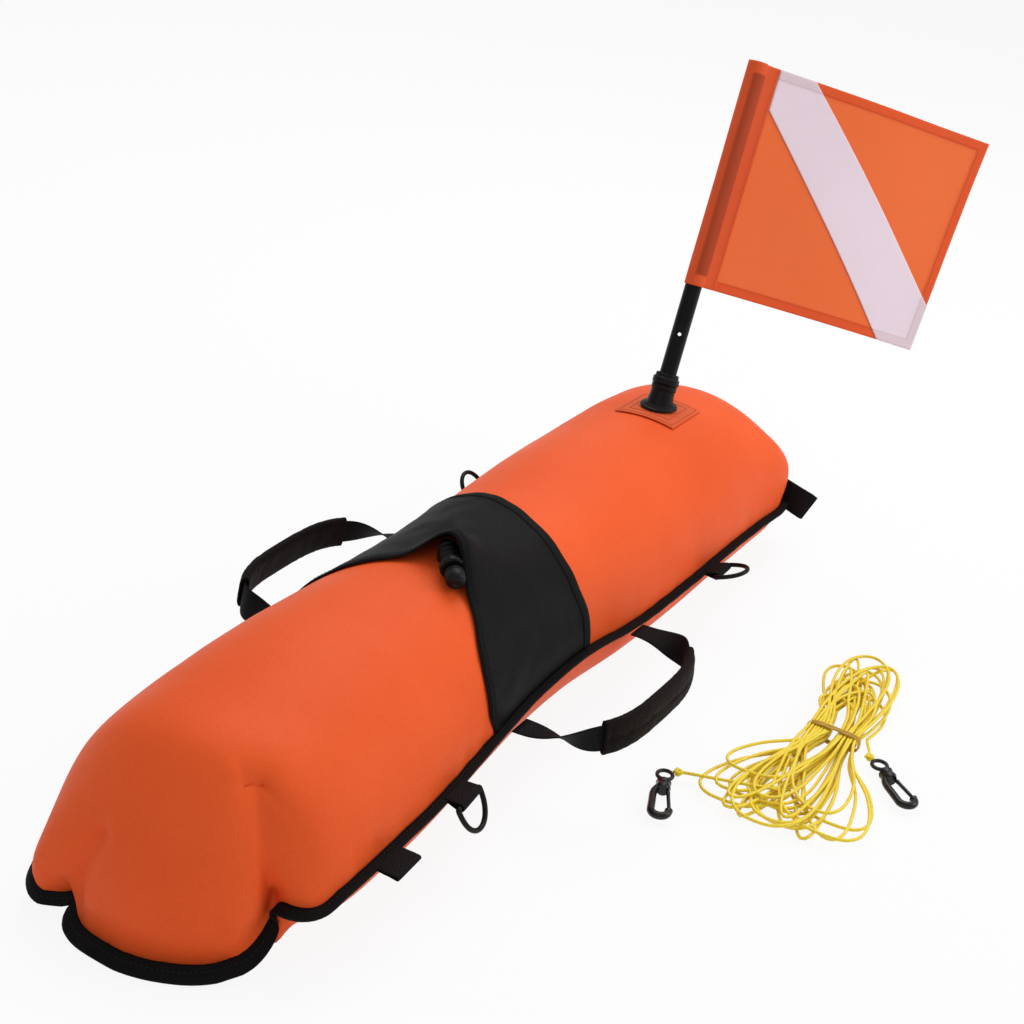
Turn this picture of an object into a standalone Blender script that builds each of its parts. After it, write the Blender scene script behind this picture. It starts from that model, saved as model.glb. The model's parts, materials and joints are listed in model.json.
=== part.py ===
"""Dive flag float: a sewn torpedo cover over an inflatable bladder, with a flag on a pole and a float line.

Metres, +Z up. The float lies along X: its tail is at -X and its nose, which carries the flag, at +X.
The origin is the middle of the flat belly that the float rests on.
"""

import math

import bmesh
import bpy
import numpy as np
from mathutils import Matrix, Vector

# Float body
TAIL_REACH = 0.522
NOSE_REACH = 0.458
HALF_WIDTH = 0.121
SEAM_HEIGHT = 0.067
ARCH_HEIGHT = 0.106
TAIL_TIP_HALF_WIDTH = 0.066
NOSE_TIP_HALF_WIDTH = 0.042
TAIL_ROUNDING = 0.100
NOSE_ROUNDING = 0.086
TAIL_SLANT = 0.062
SLANT_LENGTH_SHARE = 0.287
COVER_THICKNESS = 0.0012
CLEARANCE = 0.0003
SKIN_GAP = 0.0006
SEAM_GAP = 0.0008

# Bladder inside the cover, with the hole that its valve is welded into
BLADDER_GAP = 0.0035
BLADDER_THICKNESS = 0.0008

# Tape that binds the seam
BINDING_WIDTH = 0.0095
BINDING_THICKNESS = 0.0034

# Black panel over the middle
PANEL_THICKNESS = 0.0010
PANEL_NOSE_EDGE = -0.018
PANEL_NOTCH = -0.118
PANEL_TAIL_EDGE = -0.196

# Webbing, rings and handles
WEBBING_WIDTH = 0.030
WEBBING_THICKNESS = 0.0014
TAB_REACH = 0.013
PLAIN_TAB_REACH = 0.017
PLAIN_TAB_SETBACK = 0.147
RING_ROD = 0.0045
RING_DEPTH = 0.027
TAIL_TAB_SETBACKS = {"tail_right": 0.244, "tail_left": 0.246}
NOSE_TAB_SETBACKS = {"nose_right": 0.255, "nose_left": 0.280}
TAB_RISE_DEGREES = {"nose_right": 8.0, "nose_left": 15.0, "tail_right": -8.0, "tail_left": 42.0}
RING_REST_TURNS = {"nose_right": 20.0, "nose_left": 52.0, "tail_right": -62.0, "tail_left": -40.0}
HANDLE_TAIL_SETBACK = 0.340
HANDLE_NOSE_SETBACK = 0.402
HANDLE_REACH = 0.080
HANDLE_WEB_WIDTH = 0.025
HANDLE_GAP = 0.0004
HANDLE_RISE_DEGREES = {"right": 3.0, "left": 9.0}
GRIP_PADDING = 0.0026
GRIP_CLEARANCE = 0.0010
TOW_LOOP_SETBACK = 0.030
TOW_LOOP_REACH = 0.050
TOW_LOOP_GAP = 0.009

# Oral inflation valve
VALVE_ROOT = (-0.131, -0.010)
VALVE_HEADING_DEGREES = -138.0
VALVE_DIP_DEGREES = -8.5
VALVE_LIFT = 0.0128
VALVE_STUB_RADIUS = 0.0080
VALVE_HOSE_RADIUS = 0.0090
VALVE_HOSE_LENGTH = 0.024
VALVE_RIB_DEPTH = 0.0013
VALVE_RING_RADIUS = 0.0112
VALVE_RING_LENGTH = 0.0075
VALVE_TIP_RADIUS = 0.0088
VALVE_TIP_LENGTH = 0.0150
VALVE_TRAVEL = 0.004
VALVE_STEM_RADIUS = 0.0045

# Flag pole and its socket
SOCKET_SETBACK = 0.154
POLE_LEAN_DEGREES = 20.0
PATCH_SIDE = 0.078
PATCH_THICKNESS = 0.0008
FLANGE_RADIUS = 0.0235
FLANGE_THICKNESS = 0.0030
SOCKET_RADIUS = 0.0155
SOCKET_HEIGHT = 0.0240
SOCKET_FLOOR = 0.0035
COLLAR_RADIUS = 0.0172
COLLAR_HEIGHT = 0.0120
POLE_RADIUS = 0.0090
POLE_WALL = 0.0016
POLE_HOLE_RADIUS = 0.0020
POLE_HOLE_HEIGHT = 0.079
POLE_HOLE_HEADING_DEGREES = 21.0
POLE_TOP_MARGIN = 0.0030
PLUG_DEPTH = 0.012

# Flag
FLAG_HOIST = 0.235
FLAG_FLY = 0.284
FLAG_BOTTOM_HEIGHT = 0.132
FLAG_YAW_DEGREES = -45.0
SLEEVE_WIDTH = 0.034
CLOTH_THICKNESS = 0.0006
STRIPE_WIDTH = 0.078
SLEEVE_LAP = 0.008

# Float line, wound into a hank and tied, with a snap hook on each end
LINE_DIAMETER = 0.003
HANK_CENTRE = (0.080, -0.315)
HANK_TAIL_REACH = 0.168
HANK_NOSE_REACH = 0.160
HANK_TAIL_SPREAD = 0.084
HANK_NOSE_SPREAD = 0.044
WAIST_HALF_GAP = 0.0032
WAIST_STEP = 0.0046
LOOP_STEP = 0.0040
LAYER_STEP = 0.0036
TIE_WIDTH = 0.0060
TIE_THICKNESS = 0.0012
TIE_CLEARANCE = 0.0009
FLOOR_GAP = 0.0004
KNOT_RADIUS = 0.0046

# Plastic swivel snap hooks
HOOK_LENGTH = 0.070
HOOK_HALF_WIDTH = 0.0105
HOOK_ROD = 0.0058
BARREL_RADIUS = 0.0068
BARREL_LENGTH = 0.013
EYE_RADIUS = 0.0068
EYE_ROD = 0.0036
STEM_RADIUS = 0.0025
GATE_THICKNESS = 0.0040
GATE_GAP = 0.0005
HOOK_PLACES = {"left": (-0.072, -0.2165, -159.0), "right": (0.066, -0.3655, -134.5)}
KNOT_HEADINGS_DEGREES = {"left": -33.0, "right": 62.0}

# Counts
BODY_ROWS = 30
ARCH_COLUMNS = 16
BELLY_COLUMNS = 10
BLADDER_ROWS = 18
PANEL_ROWS = 7
PANEL_COLUMNS = 26
ROUND_STEPS = 20
SMALL_STEPS = 16
STEM_STEPS = 12
SLEEVE_STEPS = 16
DOME_STEPS = 5
VALVE_RIBS = 4
RING_STEPS = 12
HANDLE_STEPS = 18
HOOK_STEPS = 8
PATCH_ROWS = 8
TWIST_POINTS = 5
GRIP_COLUMNS = 16
FOLD_STEPS = 6
TIP_STEPS = ARCH_COLUMNS
HANK_LAYERS = 4
LOOPS_PER_LAYER = 4
POINTS_PER_LOOP = 24
TIE_POINTS = 20
HANK_START_TURN = -0.20
HANK_END_TURN = 0.375
LOBE_POWER = 1.5
OVERRUN = 0.004

# Shape of the body along its length: place, width, arch height and seam height, each as a share
BODY_SHARES = (
    (0.00, 0.90, 0.86, 0.16),
    (0.04, 0.93, 0.92, 0.48),
    (0.08, 0.96, 0.95, 0.80),
    (0.15, 0.985, 0.95, 0.94),
    (0.23, 0.97, 0.99, 0.97),
    (0.33, 0.90, 0.98, 1.01),
    (0.41, 0.85, 0.96, 1.04),
    (0.50, 0.855, 0.95, 1.04),
    (0.59, 0.93, 0.99, 0.97),
    (0.69, 0.97, 1.00, 0.97),
    (0.80, 0.975, 1.02, 0.94),
    (0.88, 0.975, 1.03, 0.88),
    (0.94, 0.97, 1.03, 0.80),
    (1.00, 0.96, 1.03, 0.74),
)
WIDTH_END_POWER = 2.6
ARCH_END_POWER = 2.9
BELLY_END_POWER = 3.0
ARCH_POWER = 0.85
BELLY_FULLNESS = 1.15
SLANT_POWER = 1.5
ROW_EASE_SHARE = 0.55
NORMAL_STEP_SHARE = 0.01
PANEL_EDGE_POWER = 1.3
PANEL_MARGIN_SHARE = 0.03
TAB_TILT_SHARE = 1.2
RING_POWER = 0.8
HANDLE_ALONG_POWER = 0.62
HANDLE_AWAY_POWER = 0.72
GRIP_POWER = 0.55
RIB_SHARES = (0.25, 0.60, 0.85)
DOME_SHARE = 0.55
STEM_SHARE = 0.7
SLEEVE_NECK_SHARES = (1.5, 1.6)
HOOK_ROOT_SHARE = 0.4
HOOK_SPINE_SHARE = 0.6
HOOK_NOSE_SHARE = 0.7

BLACK_CLOTH = (0.030, 0.028, 0.030)
BLACK_PLASTIC = (0.018, 0.018, 0.019)
ORANGE_CLOTH = (0.760, 0.105, 0.028)
FLAG_ORANGE = (0.830, 0.160, 0.048)
STRIPE_WHITE = (0.760, 0.640, 0.730)
LINE_YELLOW = (0.870, 0.600, 0.020)


def start_collections():
    for old in list(bpy.data.objects):
        bpy.data.objects.remove(old)
    parts = bpy.data.collections.new("dive_flag_float")
    cutters = bpy.data.collections.new("cutters")
    bpy.context.scene.collection.children.link(parts)
    bpy.context.scene.collection.children.link(cutters)
    return parts, cutters


PARTS, CUTTERS = start_collections()


def paint(name, colour, roughness, metallic=0.0):
    material = bpy.data.materials.new(name)
    material.use_nodes = True
    shader = material.node_tree.nodes["Principled BSDF"]
    shader.inputs["Base Color"].default_value = (*colour, 1.0)
    shader.inputs["Roughness"].default_value = roughness
    shader.inputs["Metallic"].default_value = metallic
    material.diffuse_color = (*colour, 1.0)
    return material


def add_object(name, data, material, parent=None):
    made = bpy.data.objects.new(name, data)
    PARTS.objects.link(made)
    if material:
        data.materials.append(material)
    made.parent = parent
    return made


def add_empty(name, matrix, parent=None):
    empty = bpy.data.objects.new(name, None)
    PARTS.objects.link(empty)
    empty.parent = parent
    empty.matrix_local = matrix
    return empty


def mesh_from(shape, name):
    mesh = bpy.data.meshes.new(name)
    shape.to_mesh(mesh)
    shape.free()
    return mesh


def sheet(name, rows, columns, place, thickness, material, side=-1.0, closed=False, parent=None):
    """A grid moved point by point to place(along, across), then given its thickness."""
    shape = bmesh.new()
    bmesh.ops.create_grid(shape, x_segments=rows, y_segments=columns, size=1.0)
    for vertex in shape.verts:
        vertex.co = place((vertex.co.x + 1.0) / 2.0, (vertex.co.y + 1.0) / 2.0)
    if closed:
        bmesh.ops.remove_doubles(shape, verts=shape.verts, dist=thickness / 100.0)
    made = add_object(name, mesh_from(shape, name), material, parent)
    wall = made.modifiers.new("thickness", "SOLIDIFY")
    wall.thickness = thickness
    wall.offset = side
    wall.use_even_offset = False
    made.data.shade_smooth()
    return made


def ribbon(name, points, sides, thickness, material, closed=False, parent=None):
    """A flat strap: its centre line, and the vector from that line to one edge at each point."""
    count = len(points)
    last = count if closed else count - 1

    def place(along, across):
        index = round(along * last) % count if closed else round(along * last)
        return points[index] + sides[index] * (2.0 * across - 1.0)

    return sheet(name, last, 1, place, thickness, material, side=0.0, closed=closed, parent=parent)


def turned(name, profile, material, parent=None, steps=ROUND_STEPS):
    """A profile of (radius, height), top to bottom on the outer side, spun about Z."""
    shape = bmesh.new()
    corners = [shape.verts.new((radius, 0.0, height)) for radius, height in profile]
    for first, second in zip(corners, corners[1:]):
        shape.edges.new((first, second))
    if profile[0][0] > 0.0:
        shape.edges.new((corners[-1], corners[0]))
    made = add_object(name, mesh_from(shape, name), material, parent)
    screw = made.modifiers.new("turn", "SCREW")
    screw.steps = steps
    screw.render_steps = steps
    screw.use_merge_vertices = True
    screw.merge_threshold = 0.00001
    return made


def tube(name, points, diameter, material, closed=False, detail=2, parent=None):
    """A round rod or cord along the points."""
    curve = bpy.data.curves.new(name, "CURVE")
    curve.dimensions = "3D"
    curve.bevel_depth = diameter / 2.0
    curve.bevel_resolution = detail
    curve.use_fill_caps = not closed
    spline = curve.splines.new("POLY")
    spline.points.add(len(points) - 1)
    for target, point in zip(spline.points, points):
        target.co = (*point, 1.0)
    spline.use_cyclic_u = closed
    return add_object(name, curve, material, parent)


def as_mesh(curve_object):
    """The same piece as a mesh with its caps welded, for a cut or a union."""
    bpy.context.view_layer.update()
    graph = bpy.context.evaluated_depsgraph_get()
    mesh = bpy.data.meshes.new_from_object(curve_object.evaluated_get(graph))
    shape = bmesh.new()
    shape.from_mesh(mesh)
    bmesh.ops.remove_doubles(shape, verts=shape.verts, dist=curve_object.data.bevel_depth / 100.0)
    bmesh.ops.recalc_face_normals(shape, faces=shape.faces)
    shape.to_mesh(mesh)
    shape.free()
    name, parent = curve_object.name, curve_object.parent
    place = curve_object.matrix_world.copy()
    bpy.data.objects.remove(curve_object)
    made = bpy.data.objects.new(name, mesh)
    PARTS.objects.link(made)
    made.parent = parent
    made.matrix_world = place
    return made


def boolean(target, other, operation):
    """Joins or cuts with another object, which is then kept as a hidden guide."""
    PARTS.objects.unlink(other)
    CUTTERS.objects.link(other)
    other.hide_render = True
    other.display_type = "WIRE"
    change = target.modifiers.new(other.name, "BOOLEAN")
    change.operation = operation
    change.solver = "EXACT"
    change.object = other


def smooth_shares(place, column):
    """Reads one column of the body's table on a smooth curve through its rows."""
    rows = BODY_SHARES
    index = 0
    while index < len(rows) - 2 and place > rows[index + 1][0]:
        index += 1
    before, low, high, after = (rows[min(max(index + step, 0), len(rows) - 1)] for step in (-1, 0, 1, 2))
    span = high[0] - low[0]
    part = min(max((place - low[0]) / span, 0.0), 1.0)
    low_slope = (high[column] - before[column]) / (high[0] - before[0]) * span
    high_slope = (after[column] - low[column]) / (after[0] - low[0]) * span
    rest = 1.0 - part
    return (
        low[column] * rest * rest * (1.0 + 2.0 * part)
        + high[column] * part * part * (3.0 - 2.0 * part)
        + low_slope * part * rest * rest
        - high_slope * part * part * rest
    )


def end_share(x, inset, power):
    """1 along the middle of the body, falling on a rounded curve to 0 at its tail and nose."""
    past_tail = (-x - (TAIL_REACH - inset - TAIL_ROUNDING)) / TAIL_ROUNDING
    past_nose = (x - (NOSE_REACH - inset - NOSE_ROUNDING)) / NOSE_ROUNDING
    depth = min(max(past_tail, past_nose, 0.0), 1.0)
    return (1.0 - depth**power) ** (1.0 / power)


def body_row(x, inset=0.0):
    """Half width, seam height and arch height of the body at a place along it."""
    place = (x + TAIL_REACH) / (TAIL_REACH + NOSE_REACH)
    tip = NOSE_TIP_HALF_WIDTH if x > 0.0 else TAIL_TIP_HALF_WIDTH
    width = tip + (HALF_WIDTH * smooth_shares(place, 1) - tip) * end_share(x, inset, WIDTH_END_POWER)
    arch = ARCH_HEIGHT * smooth_shares(place, 2) * end_share(x, inset, ARCH_END_POWER)
    seam = SEAM_HEIGHT * smooth_shares(place, 3)
    return width - inset, seam, max(arch - inset, 0.0)


def slanted(x, y):
    """The tail is cut back on its right side, so its end stands a little askew."""
    length = SLANT_LENGTH_SHARE * TAIL_REACH
    near_tail = min(max((length - TAIL_REACH - x) / length, 0.0), 1.0)
    near_right = min(max(-y / HALF_WIDTH, 0.0), 1.0)
    return x + TAIL_SLANT * (near_tail * near_right) ** SLANT_POWER


def upper_skin(x, turn, inset=0.0):
    """A point of the upper half: turn 0 is the right seam, pi the left seam."""
    width, seam, arch = body_row(x, inset)
    y = -width * math.cos(turn)
    return Vector((slanted(x, y), y, seam + arch * max(math.sin(turn), 0.0) ** ARCH_POWER))


def lower_skin(x, turn, inset=0.0):
    """A point of the lower half, whose middle is the flat belly."""
    width, seam, _ = body_row(x, inset)
    drop = min(1.0, BELLY_FULLNESS * max(math.sin(turn), 0.0) ** ARCH_POWER)
    depth = max(seam - inset, 0.0) * drop * end_share(x, inset, BELLY_END_POWER)
    y = -width * math.cos(turn)
    return Vector((slanted(x, y), y, seam - depth))


def row_place(along, inset=0.0):
    """Places rows closer together near the rounded tail and nose."""
    eased = (1.0 - math.cos(math.pi * along)) / 2.0
    share = ROW_EASE_SHARE * eased + (1.0 - ROW_EASE_SHARE) * along
    return -TAIL_REACH + inset + share * (TAIL_REACH + NOSE_REACH - 2.0 * inset)


def skin_normal(x, turn):
    """Outward direction of the upper half there."""
    step = NORMAL_STEP_SHARE
    length = TAIL_REACH + NOSE_REACH
    along = upper_skin(x + step * length, turn) - upper_skin(x - step * length, turn)
    across = upper_skin(x, turn + step) - upper_skin(x, turn - step)
    return along.cross(across).normalized()


def proud_skin(x, turn, height):
    """A point that stands off the upper half by a height."""
    return upper_skin(x, turn) + skin_normal(x, turn) * height


def valve_stub(name, radius, low, high, material):
    """An upright cylinder on the valve's root, from a depth below the cover to a height above it."""
    x, y = VALVE_ROOT
    outline = [(0.0, high), (radius, high), (radius, low), (0.0, low)]
    stub = turned(name, outline, material, steps=SMALL_STEPS)
    width, _, _ = body_row(x)
    root = upper_skin(x, math.acos(-y / width))
    stub.matrix_world = Matrix.Translation(root)
    return stub


def valve_hole(name):
    depth = 2.0 * (COVER_THICKNESS + BLADDER_GAP + BLADDER_THICKNESS)
    return valve_stub(name, VALVE_STUB_RADIUS + CLEARANCE, -depth, depth, None)


def make_cover(cloth):
    def upper(along, across):
        x = row_place(along)
        point = upper_skin(x, math.pi * across)
        point.z = max(point.z, body_row(x)[1] + SEAM_GAP)
        return point

    def lower(along, across):
        x = row_place(along)
        point = lower_skin(x, math.pi * (1.0 - across))
        point.z = min(point.z, body_row(x)[1] - SEAM_GAP)
        return point

    made = sheet("cover_upper", BODY_ROWS, ARCH_COLUMNS, upper, COVER_THICKNESS, cloth)
    boolean(made, valve_hole("cover_hole"), "DIFFERENCE")
    sheet("cover_lower", BODY_ROWS, BELLY_COLUMNS, lower, COVER_THICKNESS, cloth)


def make_bladder(film):
    """A closed bag whose only opening is the hole that the valve is welded into."""
    inset = COVER_THICKNESS + BLADDER_GAP

    def place(along, across):
        x = row_place(along, inset)
        if across < 0.5:
            return upper_skin(x, 2.0 * math.pi * across, inset)
        return lower_skin(x, 2.0 * math.pi * (1.0 - across), inset)

    made = sheet("bladder", BLADDER_ROWS, ARCH_COLUMNS, place, BLADDER_THICKNESS, film, closed=True)
    shape = bmesh.new()
    shape.from_mesh(made.data)
    rims = [edge for edge in shape.edges if edge.is_boundary]
    bmesh.ops.holes_fill(shape, edges=rims, sides=0)
    bmesh.ops.recalc_face_normals(shape, faces=shape.faces)
    shape.to_mesh(made.data)
    shape.free()
    boolean(made, valve_hole("bladder_hole"), "DIFFERENCE")


def outline_points():
    """The seam's outline, once round from the right of the tail, with its outward directions."""
    rows = [row_place(index / BODY_ROWS) for index in range(BODY_ROWS + 1)]
    turns = [math.pi * step / TIP_STEPS for step in range(1, TIP_STEPS)]
    points = [upper_skin(x, 0.0) for x in rows]
    points += [upper_skin(rows[-1], turn) for turn in turns]
    points += [upper_skin(x, math.pi) for x in reversed(rows)]
    points += [upper_skin(rows[0], turn) for turn in reversed(turns)]
    count = len(points)
    outward = []
    for index in range(count):
        before, after = points[index - 1], points[(index + 1) % count]
        run = after - before
        outward.append(Vector((run.y, -run.x, 0.0)).normalized())
    return points, outward


def make_binding(tape):
    points, outward = outline_points()
    half = BINDING_WIDTH / 2.0
    middle = [point + out * (CLEARANCE + half) for point, out in zip(points, outward)]
    sides = [out * half for out in outward]
    ribbon("seam_binding", middle, sides, BINDING_THICKNESS, tape, closed=True)


def make_panel(cloth):
    def place(along, across):
        sideways = abs(2.0 * across - 1.0)
        tail_edge = PANEL_NOTCH + (PANEL_TAIL_EDGE - PANEL_NOTCH) * sideways**PANEL_EDGE_POWER
        x = tail_edge + (PANEL_NOSE_EDGE - tail_edge) * along
        turn = math.pi * (PANEL_MARGIN_SHARE + (1.0 - 2.0 * PANEL_MARGIN_SHARE) * across)
        return proud_skin(x, turn, SKIN_GAP)

    sheet("wrap_panel", PANEL_ROWS, PANEL_COLUMNS, place, PANEL_THICKNESS, cloth, side=1.0)


def seam_line(x, side):
    """A point of the seam at a place along the body; side is -1 for right and 1 for left."""
    return upper_skin(x, 0.0 if side < 0.0 else math.pi)


def edge_slope(x, side):
    """Unit vector along the seam, and the one that points out from it."""
    step = NORMAL_STEP_SHARE * HALF_WIDTH
    run = (seam_line(x + step, side) - seam_line(x - step, side)).normalized()
    out = Vector((-side * run.y, side * run.x, 0.0)).normalized()
    return run, out


def seam_edge(x, side, outward):
    """A point beyond the binding there, by a distance outward."""
    out = edge_slope(x, side)[1]
    return seam_line(x, side) + out * (CLEARANCE + BINDING_WIDTH + outward)


def make_tab(name, x, side, reach, bar, tape, rise=0.0):
    """Webbing sewn into the seam and folded round a bar of the given diameter."""
    run, out = edge_slope(x, side)
    tilt = WEBBING_THICKNESS * TAB_TILT_SHARE * abs(math.sin(rise))
    root = seam_edge(x, side, 2.0 * CLEARANCE + tilt)
    away = out * math.cos(rise) + Vector((0.0, 0.0, math.sin(rise)))
    over = Vector((0.0, 0.0, math.cos(rise))) - out * math.sin(rise)
    bend = bar / 2.0 + CLEARANCE + WEBBING_THICKNESS / 2.0
    far = reach - bend - WEBBING_THICKNESS / 2.0
    sewn = over * (WEBBING_THICKNESS + CLEARANCE) / 2.0
    path = [root + sewn]
    for step in range(FOLD_STEPS + 1):
        turn = math.pi * (0.5 - step / FOLD_STEPS)
        path.append(root + away * (far + bend * math.cos(turn)) + over * bend * math.sin(turn))
    path.append(root - sewn)
    ribbon(name, path, [run * (WEBBING_WIDTH / 2.0)] * len(path), WEBBING_THICKNESS, tape)
    return root + away * far, run, out


def make_ring(name, centre, run, out, degrees, plastic):
    """A D-ring whose straight bar lies in its tab's fold; the object turns about that bar."""
    bar = WEBBING_WIDTH / 2.0 + CLEARANCE * 2.0 + RING_ROD / 2.0
    arc = [math.pi * step / RING_STEPS for step in range(RING_STEPS + 1)]
    outline = []
    for turn in arc:
        outline.append(Vector((bar * math.cos(turn), RING_DEPTH * math.sin(turn) ** RING_POWER, 0.0)))
    up = run.cross(out)
    frame = Matrix((run, out, up)).transposed().to_4x4()
    turn = Matrix.Rotation(math.radians(degrees) * (1.0 if up.z > 0.0 else -1.0), 4, "X")
    hub = add_empty(name + "_hinge", Matrix.Translation(centre) @ frame @ turn)
    ring = tube(name, outline, RING_ROD, plastic, closed=True, detail=1, parent=hub)
    ring.data.splines[0].use_smooth = True


def make_fittings(tape, plastic):
    places = {name: setback - TAIL_REACH for name, setback in TAIL_TAB_SETBACKS.items()}
    places.update({name: NOSE_REACH - setback for name, setback in NOSE_TAB_SETBACKS.items()})
    for name, x in places.items():
        side = -1.0 if name.endswith("right") else 1.0
        rise = math.radians(TAB_RISE_DEGREES[name])
        centre, run, out = make_tab(f"ring_tab_{name}", x, side, TAB_REACH, RING_ROD, tape, rise)
        make_ring(f"d_ring_{name}", centre, run, out, RING_REST_TURNS[name], plastic)
    for side, side_name in ((-1.0, "right"), (1.0, "left")):
        place = PLAIN_TAB_SETBACK - TAIL_REACH
        make_tab(f"plain_tab_{side_name}", place, side, PLAIN_TAB_REACH, 2.0 * CLEARANCE, tape)
    make_tab("tow_loop", NOSE_REACH - TOW_LOOP_SETBACK, -1.0, TOW_LOOP_REACH, TOW_LOOP_GAP, tape)


def handle_frame(side):
    """The line that a handle swings about: its middle, its direction and the way out."""
    tail = seam_edge(HANDLE_TAIL_SETBACK - TAIL_REACH, side, HANDLE_GAP)
    nose = seam_edge(NOSE_REACH - HANDLE_NOSE_SETBACK, side, HANDLE_GAP)
    run = (nose - tail).normalized()
    out = Vector((-side * run.y, side * run.x, 0.0)).normalized()
    return (tail + nose) / 2.0, run, out, (nose - tail).length


def handle_path(length):
    """The handle's centre line in its own plane: out from the seam, along it and back."""
    half = length / 2.0 - HANDLE_WEB_WIDTH / 2.0
    turns = [math.pi * step / HANDLE_STEPS for step in range(HANDLE_STEPS + 1)]
    path = []
    for turn in turns:
        along = -half * math.copysign(abs(math.cos(turn)) ** HANDLE_ALONG_POWER, math.cos(turn))
        away = HANDLE_REACH * math.sin(turn) ** HANDLE_AWAY_POWER
        path.append(Vector((along, away, 0.0)))
    return path


def make_handles(tape, padding):
    """Each handle is webbing that leaves the seam flat and twists on edge in its padded sleeve."""
    for side, side_name in ((-1.0, "right"), (1.0, "left")):
        middle, run, out, length = handle_frame(side)
        up = run.cross(out)
        rise = math.radians(HANDLE_RISE_DEGREES[side_name]) * (1.0 if up.z > 0.0 else -1.0)
        frame = Matrix((run, out, up)).transposed().to_4x4()
        hub = add_empty(
            f"handle_{side_name}_hinge",
            Matrix.Translation(middle) @ frame @ Matrix.Rotation(rise, 4, "X"),
        )
        path = handle_path(length)
        last = len(path) - 1
        edge = []
        for index in range(last + 1):
            run = (path[min(index + 1, last)] - path[max(index - 1, 0)]).normalized()
            twist = min(min(index, last - index) / TWIST_POINTS, 1.0) * math.pi / 2.0
            flat = Vector((run.y, -run.x, 0.0)) * math.cos(twist)
            edge.append((flat + Vector((0.0, 0.0, math.sin(twist)))) * HANDLE_WEB_WIDTH / 2.0)
        ribbon(f"handle_web_{side_name}", path, edge, WEBBING_THICKNESS, tape, parent=hub)
        grip_path = path[TWIST_POINTS : last + 1 - TWIST_POINTS]
        make_grip(f"handle_grip_{side_name}", grip_path, padding, hub)


def make_grip(name, path, padding, hub):
    """A padded sleeve: a flat oval tube round the webbing, open at both ends."""
    half_high = HANDLE_WEB_WIDTH / 2.0 + GRIP_CLEARANCE + GRIP_PADDING
    half_thick = WEBBING_THICKNESS / 2.0 + GRIP_CLEARANCE + GRIP_PADDING
    last = len(path) - 1

    def place(along, across):
        index = round(along * last)
        run = (path[min(index + 1, last)] - path[max(index - 1, 0)]).normalized()
        away = Vector((-run.y, run.x, 0.0))
        turn = -2.0 * math.pi * across
        high = half_high * math.copysign(abs(math.sin(turn)) ** GRIP_POWER, math.sin(turn))
        thick = half_thick * math.copysign(abs(math.cos(turn)) ** GRIP_POWER, math.cos(turn))
        return path[index] + away * thick + Vector((0.0, 0.0, high))

    sheet(name, last, GRIP_COLUMNS, place, GRIP_PADDING, padding, closed=True, parent=hub)


def valve_frame():
    """The valve hose's root, lying on the cover, with its length along local Z."""
    x, y = VALVE_ROOT
    width, _, _ = body_row(x)
    turn = math.acos(min(max(-y / width, -1.0), 1.0))
    root = proud_skin(x, turn, VALVE_LIFT)
    heading = Matrix.Rotation(math.radians(VALVE_HEADING_DEGREES), 4, "Z")
    dip = Matrix.Rotation(math.radians(90.0 - VALVE_DIP_DEGREES), 4, "Y")
    return Matrix.Translation(root) @ heading @ dip


def make_valve(plastic, rubber):
    hub = add_empty("valve_axis", valve_frame())
    hose, depth, bore = VALVE_HOSE_RADIUS, VALVE_RIB_DEPTH, VALVE_STEM_RADIUS + CLEARANCE
    rib = VALVE_HOSE_LENGTH / VALVE_RIBS
    top, low, foot = RIB_SHARES
    outer = []
    for index in range(VALVE_RIBS, 0, -1):
        outer += [(hose - depth, index * rib), (hose, (index - top) * rib)]
        outer += [(hose, (index - low) * rib), (hose - depth, (index - foot) * rib)]
    outer = [(0.0, VALVE_HOSE_LENGTH)] + outer + [(hose - depth, 0.0), (0.0, 0.0)]
    made = turned("valve_hose", outer, rubber, hub, steps=SMALL_STEPS)
    rise = VALVE_LIFT + hose / 4.0
    stub = valve_stub("valve_stub", VALVE_STUB_RADIUS, -2.0 * (COVER_THICKNESS + BLADDER_GAP), rise, rubber)
    boolean(made, stub, "UNION")
    mouth = VALVE_HOSE_LENGTH + OVERRUN
    bore_cut = turned(
        "valve_bore",
        [(0.0, mouth), (bore, mouth), (bore, OVERRUN), (0.0, OVERRUN)],
        None,
        hub,
        steps=SMALL_STEPS,
    )
    boolean(made, bore_cut, "DIFFERENCE")

    ring_start = VALVE_HOSE_LENGTH + CLEARANCE
    ring_end = ring_start + VALVE_RING_LENGTH
    lip = VALVE_RING_LENGTH / 6.0
    ring = [
        (VALVE_RING_RADIUS - lip, ring_end),
        (VALVE_RING_RADIUS, ring_end - lip),
        (VALVE_RING_RADIUS, ring_start + lip),
        (VALVE_RING_RADIUS - lip, ring_start),
        (bore, ring_start),
        (bore, ring_end),
    ]
    turned("valve_lock_ring", ring, plastic, hub)

    tip_start = ring_end + VALVE_TRAVEL + CLEARANCE
    tip_end = tip_start + VALVE_TIP_LENGTH
    cap = VALVE_TIP_RADIUS
    dome = [math.pi / 2.0 * step / DOME_STEPS for step in range(DOME_STEPS + 1)]
    rise = VALVE_TIP_LENGTH * DOME_SHARE
    outline = [(cap * math.sin(turn), tip_end - rise * (1.0 - math.cos(turn))) for turn in dome]
    stem_start = OVERRUN + VALVE_TRAVEL + CLEARANCE
    outline += [(cap, tip_start), (VALVE_STEM_RADIUS, tip_start)]
    outline += [(VALVE_STEM_RADIUS, stem_start), (0.0, stem_start)]
    turned("valve_mouthpiece", outline, rubber, hub)


def socket_place():
    """How far along the body the flag's socket stands, set back from the nose."""
    return NOSE_REACH - SOCKET_SETBACK


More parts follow.
